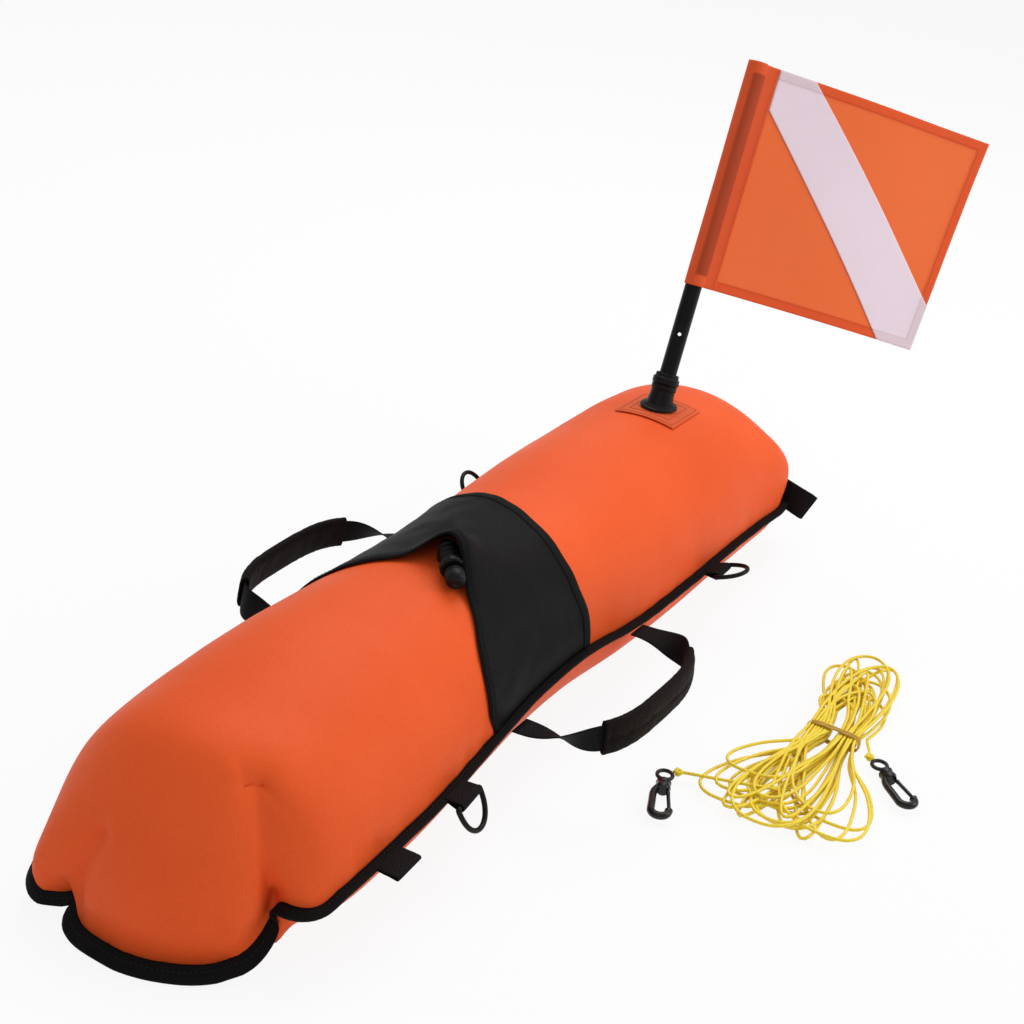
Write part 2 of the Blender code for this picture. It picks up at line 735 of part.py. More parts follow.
def socket_frame():
    """The socket's foot on the patch, with local Z up the leaning pole."""
    foot = proud_skin(socket_place(), math.pi / 2.0, SKIN_GAP + PATCH_THICKNESS + CLEARANCE)
    return Matrix.Translation(foot) @ Matrix.Rotation(math.radians(POLE_LEAN_DEGREES), 4, "Y")


def make_patch(cloth):
    def place(along, across):
        x = socket_place() + PATCH_SIDE * (along - 0.5)
        width, _, _ = body_row(x)
        turn = math.acos(min(max(-PATCH_SIDE * (across - 0.5) / width, -1.0), 1.0))
        return proud_skin(x, turn, SKIN_GAP)

    sheet("socket_patch", PATCH_ROWS, PATCH_ROWS, place, PATCH_THICKNESS, cloth, side=1.0)


def make_socket(plastic):
    """A flange that lies on the patch, joined to a tube that leans with the pole."""
    frame = socket_frame()
    hub = add_empty("pole_axis", frame)
    slope = skin_normal(socket_place(), math.pi / 2.0)
    flat = Matrix.Translation(frame.translation) @ slope.to_track_quat("Z", "X").to_matrix().to_4x4()
    edge = FLANGE_THICKNESS / 3.0
    flange = turned(
        "socket_base",
        [
            (0.0, FLANGE_THICKNESS),
            (FLANGE_RADIUS - edge, FLANGE_THICKNESS),
            (FLANGE_RADIUS, FLANGE_THICKNESS - edge),
            (FLANGE_RADIUS, 0.0),
            (0.0, 0.0),
        ],
        plastic,
    )
    flange.matrix_world = flat
    shank = turned(
        "socket_tube",
        [
            (0.0, SOCKET_HEIGHT),
            (SOCKET_RADIUS, SOCKET_HEIGHT),
            (SOCKET_RADIUS, -SOCKET_RADIUS),
            (0.0, -SOCKET_RADIUS),
        ],
        plastic,
        hub,
    )
    inside = FLANGE_THICKNESS / 2.0
    below = turned(
        "socket_foot_cut",
        [(0.0, inside), (FLANGE_RADIUS, inside), (FLANGE_RADIUS, -FLANGE_RADIUS), (0.0, -FLANGE_RADIUS)],
        None,
    )
    below.matrix_world = flat
    boolean(shank, below, "DIFFERENCE")
    bore = turned(
        "socket_bore",
        [
            (0.0, SOCKET_HEIGHT + OVERRUN),
            (POLE_RADIUS + CLEARANCE, SOCKET_HEIGHT + OVERRUN),
            (POLE_RADIUS + CLEARANCE, SOCKET_FLOOR),
            (0.0, SOCKET_FLOOR),
        ],
        None,
        hub,
    )
    boolean(flange, shank, "UNION")
    boolean(flange, bore, "DIFFERENCE")

    low = SOCKET_HEIGHT + CLEARANCE
    high = low + COLLAR_HEIGHT
    lip = COLLAR_HEIGHT / 6.0
    inner = POLE_RADIUS + CLEARANCE
    collar = [
        (COLLAR_RADIUS - 2.0 * lip, high),
        (COLLAR_RADIUS - lip, high - lip),
        (COLLAR_RADIUS, high - 2.0 * lip),
        (COLLAR_RADIUS, low + lip),
        (COLLAR_RADIUS - lip, low),
        (inner, low),
        (inner, high),
    ]
    turned("socket_collar", collar, plastic, hub)
    return hub


def make_pole(plastic, hub):
    low = SOCKET_FLOOR + CLEARANCE
    high = FLAG_BOTTOM_HEIGHT + FLAG_HOIST - POLE_TOP_MARGIN
    inner = POLE_RADIUS - POLE_WALL
    wall = [(POLE_RADIUS, high), (POLE_RADIUS, low), (inner, low), (inner, high)]
    pole = turned("pole", wall, plastic, hub)
    reach = POLE_RADIUS + OVERRUN
    drill = turned(
        "pole_hole",
        [(0.0, reach), (POLE_HOLE_RADIUS, reach), (POLE_HOLE_RADIUS, -reach), (0.0, -reach)],
        None,
        hub,
        steps=STEM_STEPS,
    )
    across = Matrix.Rotation(math.radians(90.0), 4, "Y")
    heading = Matrix.Rotation(math.radians(POLE_HOLE_HEADING_DEGREES), 4, "Z")
    drill.matrix_local = Matrix.Translation((0.0, 0.0, POLE_HOLE_HEIGHT)) @ heading @ across
    boolean(pole, drill, "DIFFERENCE")

    plug = POLE_RADIUS - POLE_WALL - CLEARANCE
    rim = POLE_TOP_MARGIN / 2.0
    turned(
        "pole_cap",
        [
            (0.0, high + CLEARANCE + rim),
            (POLE_RADIUS - rim, high + CLEARANCE + rim),
            (POLE_RADIUS, high + CLEARANCE + rim / 2.0),
            (POLE_RADIUS, high + CLEARANCE),
            (plug, high + CLEARANCE),
            (plug, high - PLUG_DEPTH),
            (0.0, high - PLUG_DEPTH),
        ],
        plastic,
        hub,
    )


def flat_cloth(name, outline, height, thickness, material, hub):
    """A flat piece of cloth in the flag's plane: local X is the fly, local Z the hoist."""
    curve = bpy.data.curves.new(name, "CURVE")
    curve.dimensions = "2D"
    curve.fill_mode = "BOTH"
    curve.extrude = thickness / 2.0
    spline = curve.splines.new("POLY")
    spline.points.add(len(outline) - 1)
    for target, (along, up) in zip(spline.points, outline):
        target.co = (along, up, 0.0, 1.0)
    spline.use_cyclic_u = True
    made = add_object(name, curve, material, hub)
    upright = Matrix.Rotation(math.radians(90.0), 4, "X")
    made.matrix_local = Matrix.Translation((0.0, height, 0.0)) @ upright
    return made


def make_flag(cloth, white, sleeve_cloth, pole_hub):
    """Cloth on a sleeve that turns round the pole, with a diagonal stripe on each face."""
    yaw = Matrix.Rotation(math.radians(FLAG_YAW_DEGREES), 4, "Z")
    hub = add_empty("flag_axis", Matrix.Translation((0.0, 0.0, FLAG_BOTTOM_HEIGHT)) @ yaw, pole_hub)
    layer = CLOTH_THICKNESS / 2.0 + CLEARANCE + CLOTH_THICKNESS / 2.0
    wrap = POLE_RADIUS + CLEARANCE + CLOTH_THICKNESS / 2.0
    field_start = SLEEVE_WIDTH - wrap - SLEEVE_LAP
    seam_end = SLEEVE_WIDTH - wrap
    spread = math.asin(layer / wrap)
    round_pole = 2.0 * math.pi - 2.0 * spread
    turns = [spread + round_pole * step / SLEEVE_STEPS for step in range(1, SLEEVE_STEPS)]
    neck, neck_width = wrap * SLEEVE_NECK_SHARES[0], layer * SLEEVE_NECK_SHARES[1]
    lap = [(seam_end, layer), (field_start, layer), (neck, neck_width)]
    path = [Vector((along, away, 0.0)) for along, away in lap]
    path += [Vector((wrap * math.cos(turn), wrap * math.sin(turn), 0.0)) for turn in turns]
    path += [Vector((along, -away, 0.0)) for along, away in reversed(lap)]
    lift = Vector((0.0, 0.0, FLAG_HOIST / 2.0))
    path = [point + lift for point in path]
    ribbon("flag_sleeve", path, [lift] * len(path), CLOTH_THICKNESS, sleeve_cloth, parent=hub)

    fly = FLAG_FLY - wrap
    field = [(field_start, 0.0), (fly, 0.0), (fly, FLAG_HOIST), (field_start, FLAG_HOIST)]
    flat_cloth("flag_field", field, 0.0, CLOTH_THICKNESS, cloth, hub)

    start = seam_end + CLEARANCE
    slant = math.hypot(fly - start, FLAG_HOIST)
    wide = STRIPE_WIDTH / 2.0 * slant / FLAG_HOIST
    tall = STRIPE_WIDTH / 2.0 * slant / (fly - start)
    band = [
        (start, FLAG_HOIST),
        (start, FLAG_HOIST - tall),
        (fly - wide, 0.0),
        (fly, 0.0),
        (fly, tall),
        (start + wide, FLAG_HOIST),
    ]
    for face, name in ((-1.0, "flag_stripe_front"), (1.0, "flag_stripe_back")):
        flat_cloth(name, band, face * layer, CLOTH_THICKNESS, white, hub)


def loop_point(turn_count):
    """The hank's cord after a number of turns: round the loop, in and out, and up the layers."""
    last = LOOPS_PER_LAYER
    layer = turn_count / last
    whole = min(int(layer), HANK_LAYERS - 1)
    inward = turn_count - whole * last
    step_out = last - inward if whole % 2 == 0 else inward
    nearest = round(layer)
    since = turn_count - nearest * last
    climb = nearest + min(max(2.0 * since, -0.5), 0.5)
    if nearest in (0, HANK_LAYERS):
        climb = 0.5 if nearest == 0 else HANK_LAYERS - 0.5
    level = climb - 0.5
    angle = 2.0 * math.pi * turn_count
    side, end = math.sin(angle), math.cos(angle)
    reach = HANK_TAIL_REACH if end < 0.0 else HANK_NOSE_REACH
    spread = HANK_TAIL_SPREAD if end < 0.0 else HANK_NOSE_SPREAD
    reach += (step_out - last) * LOOP_STEP
    spread += (step_out - last) * LOOP_STEP
    waist = WAIST_HALF_GAP + step_out * WAIST_STEP
    x = HANK_CENTRE[0] + end * reach
    y = HANK_CENTRE[1] + side * (waist * side * side + 2.0 * spread * abs(end) ** LOBE_POWER)
    base = FLOOR_GAP + TIE_THICKNESS + TIE_CLEARANCE + LINE_DIAMETER / 2.0
    return Vector((x, y, base + level * LAYER_STEP))


def hank_points():
    turns = HANK_LAYERS * LOOPS_PER_LAYER
    first, last = HANK_START_TURN, turns + HANK_END_TURN
    count = round((last - first) * POINTS_PER_LOOP)
    return [loop_point(first + (last - first) * index / count) for index in range(count + 1)]


def least_gap(points, skip):
    """The least gap of the wound cord to itself, measured on its points."""
    spots = np.array([tuple(point) for point in points])
    fine = np.concatenate([spots[:-1] + (spots[1:] - spots[:-1]) * part for part in (0.0, 0.25, 0.5, 0.75)])
    order = np.concatenate([np.arange(len(spots) - 1) + part for part in (0.0, 0.25, 0.5, 0.75)])
    least = math.inf
    for place, spot in zip(order, fine):
        far = np.abs(order - place) > skip
        least = min(least, np.linalg.norm(fine[far] - spot, axis=1).min())
    return least - LINE_DIAMETER


def make_hank(yarn, band):
    points = hank_points()
    tube("line_hank", points, LINE_DIAMETER, yarn, detail=1)
    print(f"hank least gap {1000.0 * least_gap(points, POINTS_PER_LOOP / 3.0):.2f} mm")
    length = sum((second - first).length for first, second in zip(points, points[1:]))
    print(f"hank cord length {length:.2f} m")

    corner = LINE_DIAMETER / 2.0 + TIE_CLEARANCE + TIE_THICKNESS / 2.0
    wide = WAIST_HALF_GAP + (LOOPS_PER_LAYER + HANK_END_TURN) * WAIST_STEP
    high = (HANK_LAYERS - 1) * LAYER_STEP / 2.0
    middle = Vector((HANK_CENTRE[0], HANK_CENTRE[1], FLOOR_GAP + TIE_THICKNESS / 2.0 + corner + high))
    path = []
    for index in range(TIE_POINTS):
        turn = 2.0 * math.pi * (index + 0.5) / TIE_POINTS
        y = math.copysign(wide, math.cos(turn)) + corner * math.cos(turn)
        z = math.copysign(high, math.sin(turn)) + corner * math.sin(turn)
        path.append(middle + Vector((0.0, y, z)))
    edge = [Vector((TIE_WIDTH / 2.0, 0.0, 0.0))] * TIE_POINTS
    ribbon("hank_tie", path, edge, TIE_THICKNESS, band, closed=True)


def smooth_route(points, count):
    """Points along a smooth curve through a cord's own route points."""
    ends = [points[0] * 2.0 - points[1]] + points + [points[-1] * 2.0 - points[-2]]
    route = []
    for index in range(count + 1):
        place = index / count * (len(points) - 1)
        knot = min(int(place), len(points) - 2)
        part = place - knot
        a, b, c, d = ends[knot : knot + 4]
        route.append(
            (b * 2.0 + (c - a) * part + (a * 2.0 - b * 5.0 + c * 4.0 - d) * part**2
             + (b * 3.0 - a - c * 3.0 + d) * part**3) / 2.0
        )
    return route


def make_line_end(side_name, hank_end, yarn, eye_centre):
    """The stretch of line from the hank to the knot on a snap hook's eye, and the knot."""
    heading = math.radians(KNOT_HEADINGS_DEGREES[side_name])
    reach = EYE_RADIUS + EYE_ROD / 2.0 + CLEARANCE + KNOT_RADIUS
    knot_place = eye_centre + Vector((math.cos(heading), math.sin(heading), 0.0)) * reach
    away = (hank_end[0] - hank_end[1]).normalized()
    start = hank_end[0] + away * CLEARANCE
    toward = (hank_end[0] - knot_place).normalized()
    stop = knot_place + toward * (KNOT_RADIUS + 2.0 * CLEARANCE)
    start = start + away * CLEARANCE
    lead = start + away * 2.0 * LINE_DIAMETER
    tail = stop + toward * 2.0 * LINE_DIAMETER
    points = [start, lead, tail, stop]
    tube(f"line_end_{side_name}", smooth_route(points, 16), LINE_DIAMETER, yarn, detail=2)
    shape = bmesh.new()
    bmesh.ops.create_uvsphere(shape, u_segments=12, v_segments=8, radius=KNOT_RADIUS)
    knot = add_object(f"line_knot_{side_name}", mesh_from(shape, "knot"), yarn)
    knot.location = knot_place


def hook_outline():
    """The hook's spine, bend and nose in its own plane, from the barrel to the nose tip."""
    wide = HOOK_HALF_WIDTH - HOOK_ROD / 2.0
    root = EYE_RADIUS + EYE_ROD + BARREL_LENGTH
    end = HOOK_LENGTH - EYE_RADIUS - HOOK_ROD / 2.0
    bend = end - wide
    path = [Vector((root - HOOK_ROD, -wide * HOOK_ROOT_SHARE, 0.0)), Vector((root + HOOK_ROD, -wide, 0.0))]
    path += [Vector((root + (bend - root) * HOOK_SPINE_SHARE, -wide, 0.0))]
    turns = [math.pi * (step / HOOK_STEPS - 0.5) for step in range(HOOK_STEPS + 1)]
    path += [Vector((bend + wide * math.cos(turn), wide * math.sin(turn), 0.0)) for turn in turns]
    path += [Vector((bend - HOOK_ROD * HOOK_NOSE_SHARE, wide, 0.0))]
    return path


def make_hook(side_name, plastic, metal):
    """A swivel eye, the hook body that turns on it and the sprung gate."""
    x, y, heading = HOOK_PLACES[side_name]
    centre = Vector((x, y, FLOOR_GAP + BARREL_RADIUS))
    hub = add_empty(
        f"hook_{side_name}_axis",
        Matrix.Translation(centre) @ Matrix.Rotation(math.radians(heading), 4, "Z"),
    )
    ring_turns = [2.0 * math.pi * step / SMALL_STEPS for step in range(SMALL_STEPS)]
    ring = [Vector((EYE_RADIUS * math.cos(turn), EYE_RADIUS * math.sin(turn), 0.0)) for turn in ring_turns]
    eye = as_mesh(tube(f"hook_eye_{side_name}", ring, EYE_ROD, plastic, closed=True, detail=1, parent=hub))
    stem_end = EYE_RADIUS + EYE_ROD + BARREL_LENGTH * STEM_SHARE
    stem = turned(
        f"stem_{side_name}",
        [(0.0, stem_end), (STEM_RADIUS, stem_end), (STEM_RADIUS, EYE_RADIUS), (0.0, EYE_RADIUS)],
        plastic,
        hub,
        steps=STEM_STEPS,
    )
    lay = Matrix.Rotation(math.radians(90.0), 4, "Y")
    stem.matrix_local = lay
    boolean(eye, stem, "UNION")

    body = as_mesh(tube(f"hook_body_{side_name}", hook_outline(), HOOK_ROD, plastic, detail=2, parent=hub))
    low = EYE_RADIUS + EYE_ROD + CLEARANCE
    high = low + BARREL_LENGTH
    lip = BARREL_LENGTH / 8.0
    barrel = turned(
        f"barrel_{side_name}",
        [
            (0.0, high),
            (BARREL_RADIUS - lip, high),
            (BARREL_RADIUS, high - lip),
            (BARREL_RADIUS, low + lip),
            (BARREL_RADIUS - lip, low),
            (0.0, low),
        ],
        plastic,
        hub,
        steps=SMALL_STEPS,
    )
    barrel.matrix_local = lay
    bore = turned(
        f"barrel_bore_{side_name}",
        [
            (0.0, stem_end + CLEARANCE),
            (STEM_RADIUS + CLEARANCE, stem_end + CLEARANCE),
            (STEM_RADIUS + CLEARANCE, low - OVERRUN),
            (0.0, low - OVERRUN),
        ],
        None,
        hub,
        steps=STEM_STEPS,
    )
    bore.matrix_local = lay
    boolean(body, barrel, "UNION")
    boolean(body, bore, "DIFFERENCE")

    wide = HOOK_HALF_WIDTH - HOOK_ROD / 2.0
    nose = hook_outline()[-1].x
    root = high + GATE_GAP
    tip = nose - GATE_GAP
    low_side = BARREL_RADIUS - GATE_THICKNESS / 2.0
    gate_hub = add_empty(f"gate_{side_name}_hinge", Matrix.Translation((root, low_side, 0.0)), hub)
    gate_path = [Vector((0.0, 0.0, 0.0)), Vector((tip - root, wide - low_side, 0.0))]
    tube(f"hook_gate_{side_name}", gate_path, GATE_THICKNESS, metal, detail=2, parent=gate_hub)
    return centre


def make_float():
    orange = paint("orange coated nylon", ORANGE_CLOTH, 0.55)
    black_cloth = paint("black coated nylon", BLACK_CLOTH, 0.45)
    webbing = paint("black webbing", BLACK_CLOTH, 0.8)
    plastic = paint("black plastic", BLACK_PLASTIC, 0.35)
    rubber = paint("black rubber", BLACK_PLASTIC, 0.55)
    film = paint("bladder film", STRIPE_WHITE, 0.4)
    flag_cloth = paint("flag nylon", FLAG_ORANGE, 0.7)
    white_cloth = paint("white nylon", STRIPE_WHITE, 0.7)
    yarn = paint("yellow line", LINE_YELLOW, 0.4)

    make_cover(orange)
    make_bladder(film)
    make_binding(webbing)
    make_panel(black_cloth)
    make_fittings(webbing, plastic)
    make_handles(webbing, black_cloth)
    make_valve(plastic, rubber)
    make_patch(orange)
    pole_hub = make_socket(plastic)
    make_pole(plastic, pole_hub)
    make_flag(flag_cloth, white_cloth, flag_cloth, pole_hub)
    make_hank(yarn, yarn)
    points = hank_points()
    ends = {"right": (points[0], points[1]), "left": (points[-1], points[-2])}
    for side_name, hank_end in ends.items():
        centre = make_hook(side_name, plastic, plastic)
        make_line_end(side_name, hank_end, yarn, centre)


make_float()
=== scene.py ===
"""The dive flag float's looks: sewn cover, panel, webbing, valve, flag and line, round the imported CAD."""

import json
import math

import bmesh
import bpy
from mathutils import Matrix, Vector, noise


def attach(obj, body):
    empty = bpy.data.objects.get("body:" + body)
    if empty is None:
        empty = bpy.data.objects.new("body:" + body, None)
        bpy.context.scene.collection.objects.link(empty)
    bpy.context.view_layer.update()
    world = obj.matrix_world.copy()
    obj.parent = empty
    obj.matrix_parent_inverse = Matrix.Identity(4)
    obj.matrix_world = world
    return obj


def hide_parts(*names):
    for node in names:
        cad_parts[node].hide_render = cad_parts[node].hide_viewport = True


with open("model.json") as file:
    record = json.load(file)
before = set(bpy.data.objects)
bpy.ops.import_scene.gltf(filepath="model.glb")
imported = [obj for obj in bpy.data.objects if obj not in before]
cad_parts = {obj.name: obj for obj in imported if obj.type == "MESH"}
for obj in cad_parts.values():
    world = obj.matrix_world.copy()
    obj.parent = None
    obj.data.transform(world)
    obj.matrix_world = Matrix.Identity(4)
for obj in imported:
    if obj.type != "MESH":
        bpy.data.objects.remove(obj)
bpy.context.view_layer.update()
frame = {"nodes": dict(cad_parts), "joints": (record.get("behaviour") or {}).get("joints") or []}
joint_at = {joint["name"]: joint for joint in frame["joints"]}
scene = bpy.context.scene


# The camera stands at the float's tail, to its right and above it.
# Its place and lens come from the photograph's own perspective.

CAMERA_TARGET = Vector((0.0, 0.0, 0.16312))
CAMERA_AZIMUTH = math.radians(-62.307)
CAMERA_ELEVATION = math.radians(26.579)
CAMERA_ROLL = math.radians(6.4335)
CAMERA_DISTANCE = 1.5603
PHOTO_SIDE = 1024
FOCAL_PIXELS = 1700.0


def axes(x, y, z):
    """The turn that lays an object's axes along three unit vectors."""
    return Matrix((x, y, z)).transposed().to_4x4()


camera_back = Vector((
    math.sin(CAMERA_AZIMUTH) * math.cos(CAMERA_ELEVATION),
    -math.cos(CAMERA_AZIMUTH) * math.cos(CAMERA_ELEVATION),
    math.sin(CAMERA_ELEVATION),
))
camera_level = Vector((math.cos(CAMERA_AZIMUTH), math.sin(CAMERA_AZIMUTH), 0.0))
camera_upright = camera_level.cross(-camera_back)
camera_right = camera_level * math.cos(CAMERA_ROLL) + camera_upright * math.sin(CAMERA_ROLL)
camera_up = camera_upright * math.cos(CAMERA_ROLL) - camera_level * math.sin(CAMERA_ROLL)
camera_data = bpy.data.cameras.new("camera")
camera_data.lens = FOCAL_PIXELS / PHOTO_SIDE * camera_data.sensor_width
camera = bpy.data.objects.new("camera", camera_data)
scene.collection.objects.link(camera)
camera.matrix_world = Matrix.Translation(CAMERA_TARGET + camera_back * CAMERA_DISTANCE) @ axes(
    camera_right, camera_up, camera_back
)
scene.camera = camera
scene.view_settings.view_transform = "Standard"


# A white sweep under soft boxes: a wide one overhead, one right of the nose and a weak one by the camera.
# The camera sees the sweep almost white, with the float's faint shadow on it.

FLOOR_SIDE = 60.0
FLOOR_DROP = 0.0004
PAPER_WHITE = 0.9
ROOM_LIGHT = 0.46
BACKDROP_WHITE = 0.90
# Each soft box: name, place, target, side in metres and power in watts
SOFT_BOXES = (
    ("overhead box", (1.2, 0.3, 2.2), (0.1, 0.0, 0.1), 1.8, 30.0),
    ("right box", (1.0, -1.9, 1.3), (0.1, 0.0, 0.15), 1.4, 17.0),
    ("camera box", (-2.2, -0.6, 1.3), (0.0, 0.0, 0.1), 1.2, 3.0),
)


def tone(red, green, blue):
    """A colour as a screen shows it, 0 to 255, in Blender's linear values."""
    shares = [part / 255.0 for part in (red, green, blue)]
    linear = [share / 12.92 if share <= 0.04045 else ((share + 0.055) / 1.055) ** 2.4 for share in shares]
    return tuple(linear) + (1.0,)


def mix_by_ray(owner, rays, share, shaded, plain, end):
    """Two shaders: rays of two kinds see the plain one by this share, all others the shaded one."""
    owner.use_nodes = True
    tree = owner.node_tree
    tree.nodes.clear()
    seen, either, part, mixed, first, second, surface = (
        tree.nodes.new("ShaderNode" + kind)
        for kind in ("LightPath", "Math", "Math", "MixShader", shaded, plain, end)
    )
    either.operation, part.operation = "MAXIMUM", "MULTIPLY"
    part.inputs[1].default_value = share
    for output, target in (
        (seen.outputs[rays[0]], either.inputs[0]),
        (seen.outputs[rays[1]], either.inputs[1]),
        (either.outputs[0], part.inputs[0]),
        (part.outputs[0], mixed.inputs["Fac"]),
        (first.outputs[0], mixed.inputs[1]),
        (second.outputs[0], mixed.inputs[2]),
        (mixed.outputs[0], surface.inputs["Surface"]),
    ):
        tree.links.new(output, target)
    return first, second


floor_shape = bmesh.new()
bmesh.ops.create_grid(floor_shape, x_segments=1, y_segments=1, size=FLOOR_SIDE / 2.0)
bmesh.ops.translate(floor_shape, verts=floor_shape.verts, vec=(0.0, 0.0, -FLOOR_DROP))
floor_mesh = bpy.data.meshes.new("floor")
floor_shape.to_mesh(floor_mesh)
floor_shape.free()
floor = bpy.data.objects.new("floor", floor_mesh)
scene.collection.objects.link(floor)

sweep = bpy.data.materials.new("white sweep")
paper, _ = mix_by_ray(
    sweep, ("Is Camera Ray", "Is Glossy Ray"), BACKDROP_WHITE, "BsdfDiffuse", "Emission", "OutputMaterial"
)
paper.inputs["Color"].default_value = (PAPER_WHITE, PAPER_WHITE, PAPER_WHITE, 1.0)
floor_mesh.materials.append(sweep)

scene.world = bpy.data.worlds.new("white room")
room, white = mix_by_ray(
    scene.world, ("Is Camera Ray", "Is Transmission Ray"), 1.0, "Background", "Background", "OutputWorld"
)
room.inputs["Strength"].default_value = ROOM_LIGHT
for background in (room, white):
    background.inputs["Color"].default_value = (1.0, 1.0, 1.0, 1.0)

for name, place, target, side, power in SOFT_BOXES:
    lamp = bpy.data.lights.new(name, "AREA")
    lamp.shape, lamp.size, lamp.energy = "SQUARE", side, power
    box = bpy.data.objects.new(name, lamp)
    scene.collection.objects.link(box)
    box.location = place
    box.rotation_euler = (Vector(target) - Vector(place)).to_track_quat("-Z", "Y").to_euler()


# The cover is two sheets of coated orange nylon sewn together along the seam and blown up from inside.
# At the tail the slack cloth buckles into three lobes with two deep creases, and it gathers along the seam.

TAIL_REACH = 0.522
NOSE_REACH = 0.458
BODY_LENGTH = TAIL_REACH + NOSE_REACH
HALF_WIDTH = 0.121
SEAM_HEIGHT = 0.067
ARCH_HEIGHT = 0.106
ARCH_GIRTH = 0.36
TAIL_TIP_HALF_WIDTH = 0.066
NOSE_TIP_HALF_WIDTH = 0.042
TAIL_ROUNDING = 0.100
NOSE_ROUNDING = 0.086
TAIL_SLANT = 0.062
SLANT_LENGTH = 0.150
SLANT_POWER = 1.5
WIDTH_END_POWER = 2.6
ARCH_END_POWER = 2.9
BELLY_END_POWER = 3.0
ARCH_POWER = 0.85
BELLY_FULLNESS = 1.15
# From the tail to the nose: place, then half width, arch height and seam height
BODY_SHARES = (
    (0.00, 0.90, 0.86, 0.16),
    (0.04, 0.93, 0.92, 0.48),
    (0.08, 0.96, 0.95, 0.80),
    (0.15, 0.985, 0.95, 0.94),
    (0.23, 0.97, 0.99, 0.97),
    (0.33, 0.90, 0.98, 1.01),
    (0.41, 0.85, 0.96, 1.04),
    (0.50, 0.855, 0.95, 1.04),
    (0.59, 0.93, 0.99, 0.97),
    (0.69, 0.97, 1.00, 0.97),
    (0.80, 0.975, 1.02, 0.94),
    (0.88, 0.975, 1.03, 0.88),
    (0.94, 0.97, 1.03, 0.80),
    (1.00, 0.96, 1.03, 0.74),
)
CLOTH_THICKNESS = 0.0008
COVER_ROWS = 230
COVER_COLUMNS = 144
ROW_EASE_SHARE = 0.62
# Each crease runs from its foot at the seam to its top: foot and top, the pull at each, the lap of one side
# over the other at the foot, then its width at each and how soon the pull fades
CREASES = (
    ((-0.476, -0.095, 0.016), (-0.449, -0.054, 0.139), (0.024, 0.020, 0.026), (0.004, 0.0, -0.005),
     (0.004, -0.010, 0.0), 0.0065, 0.0070, 0.42),
    ((-0.448, -0.055, 0.138), (-0.440, -0.082, 0.118), (0.002, 0.0, -0.004), (0.0, 0.0, -0.001),
     (0.0007, -0.0007, 0.0), 0.005, 0.005, 1.0),
    ((-0.524, 0.056, 0.010), (-0.503, 0.036, 0.090), (0.022, -0.002, 0.012), (0.003, 0.0, -0.003),
     (0.0, 0.007, 0.0), 0.0070, 0.0065, 0.45),
    ((0.440, -0.078, 0.050), (0.405, -0.066, 0.122), (-0.009, 0.006, 0.004), (-0.002, 0.0, -0.003),
     (0.004, 0.003, 0.0), 0.006, 0.006, 0.5),
    ((0.440, 0.094, 0.050), (0.396, 0.080, 0.118), (-0.018, -0.004, 0.008), (-0.003, 0.0, -0.003),
     (0.0, 0.001, 0.0), 0.015, 0.010, 0.9),
)
# The lap eases in over this distance, and the cloth on its far side falls away more slowly
LAP_STEP = 0.0034
FAR_WIDENS = 1.9
FAR_FADES_SHARE = 0.7
CUSP_ROUND = 0.0015
CREASE_OVERRUN_SHARE = 0.25
CREASE_WIDTHS_ASIDE = 8.0
CREASE_WIDTHS_PAST = 4.0
# Each lobe swells the cloth round its middle, on one side of the crease that bounds it: place, push, reach,
# crease, side
LOBES = (
    ((-0.530, -0.020, 0.030), (-0.001, 0.0, 0.0), 0.050, None, 0.0),
    ((-0.512, 0.084, 0.030), (-0.002, 0.005, 0.004), 0.036, 2, 1.0),
    ((-0.474, 0.116, 0.035), (0.006, -0.010, 0.004), 0.018, None, 0.0),
    ((-0.458, -0.108, 0.024), (-0.002, -0.010, 0.020), 0.040, 0, 1.0),
    ((-0.484, -0.088, 0.012), (0.006, 0.005, 0.004), 0.030, 0, -1.0),
    ((0.415, -0.088, 0.090), (0.010, -0.012, 0.002), 0.036, None, 0.0),
    ((0.432, -0.086, 0.064), (-0.005, 0.006, 0.002), 0.009, None, 0.0),
)
GATHER_HEIGHT = 0.0032
GATHER_REACH = 0.016
GATHERS_PER_METRE = 52.0
SAG_HEIGHT = 0.0016
CALM_END = 0.03
SKIN_STEP = 0.004


def bounded(value):
    """A share, held between 0 and 1."""
    return min(max(value, 0.0), 1.0)


def noise_at(x, y, z):
    return noise.noise(Vector((x, y, z)))


def read_table(rows, place, column=1):
    """One column of a table, read on a smooth curve through its rows; column 0 holds the places."""
    index = 0
    while index < len(rows) - 2 and place > rows[index + 1][0]:
        index += 1
    before, low, high, after = (rows[min(max(index + step, 0), len(rows) - 1)] for step in (-1, 0, 1, 2))
    span = high[0] - low[0]
    part = bounded((place - low[0]) / span)
    rest = 1.0 - part
    low_slope = (high[column] - before[column]) / (high[0] - before[0]) * span
    high_slope = (after[column] - low[column]) / (after[0] - low[0]) * span
    return (
        low[column] * rest * rest * (1.0 + 2.0 * part)
        + high[column] * part * part * (3.0 - 2.0 * part)
        + low_slope * part * rest * rest
        - high_slope * part * part * rest
    )


def end_share(x, inset, power):
    """1 along the middle of the body, falling on a rounded curve to 0 at its tail and nose."""
    past_tail = (-x - (TAIL_REACH - inset - TAIL_ROUNDING)) / TAIL_ROUNDING
    past_nose = (x - (NOSE_REACH - inset - NOSE_ROUNDING)) / NOSE_ROUNDING
    return (1.0 - bounded(max(past_tail, past_nose)) ** power) ** (1.0 / power)


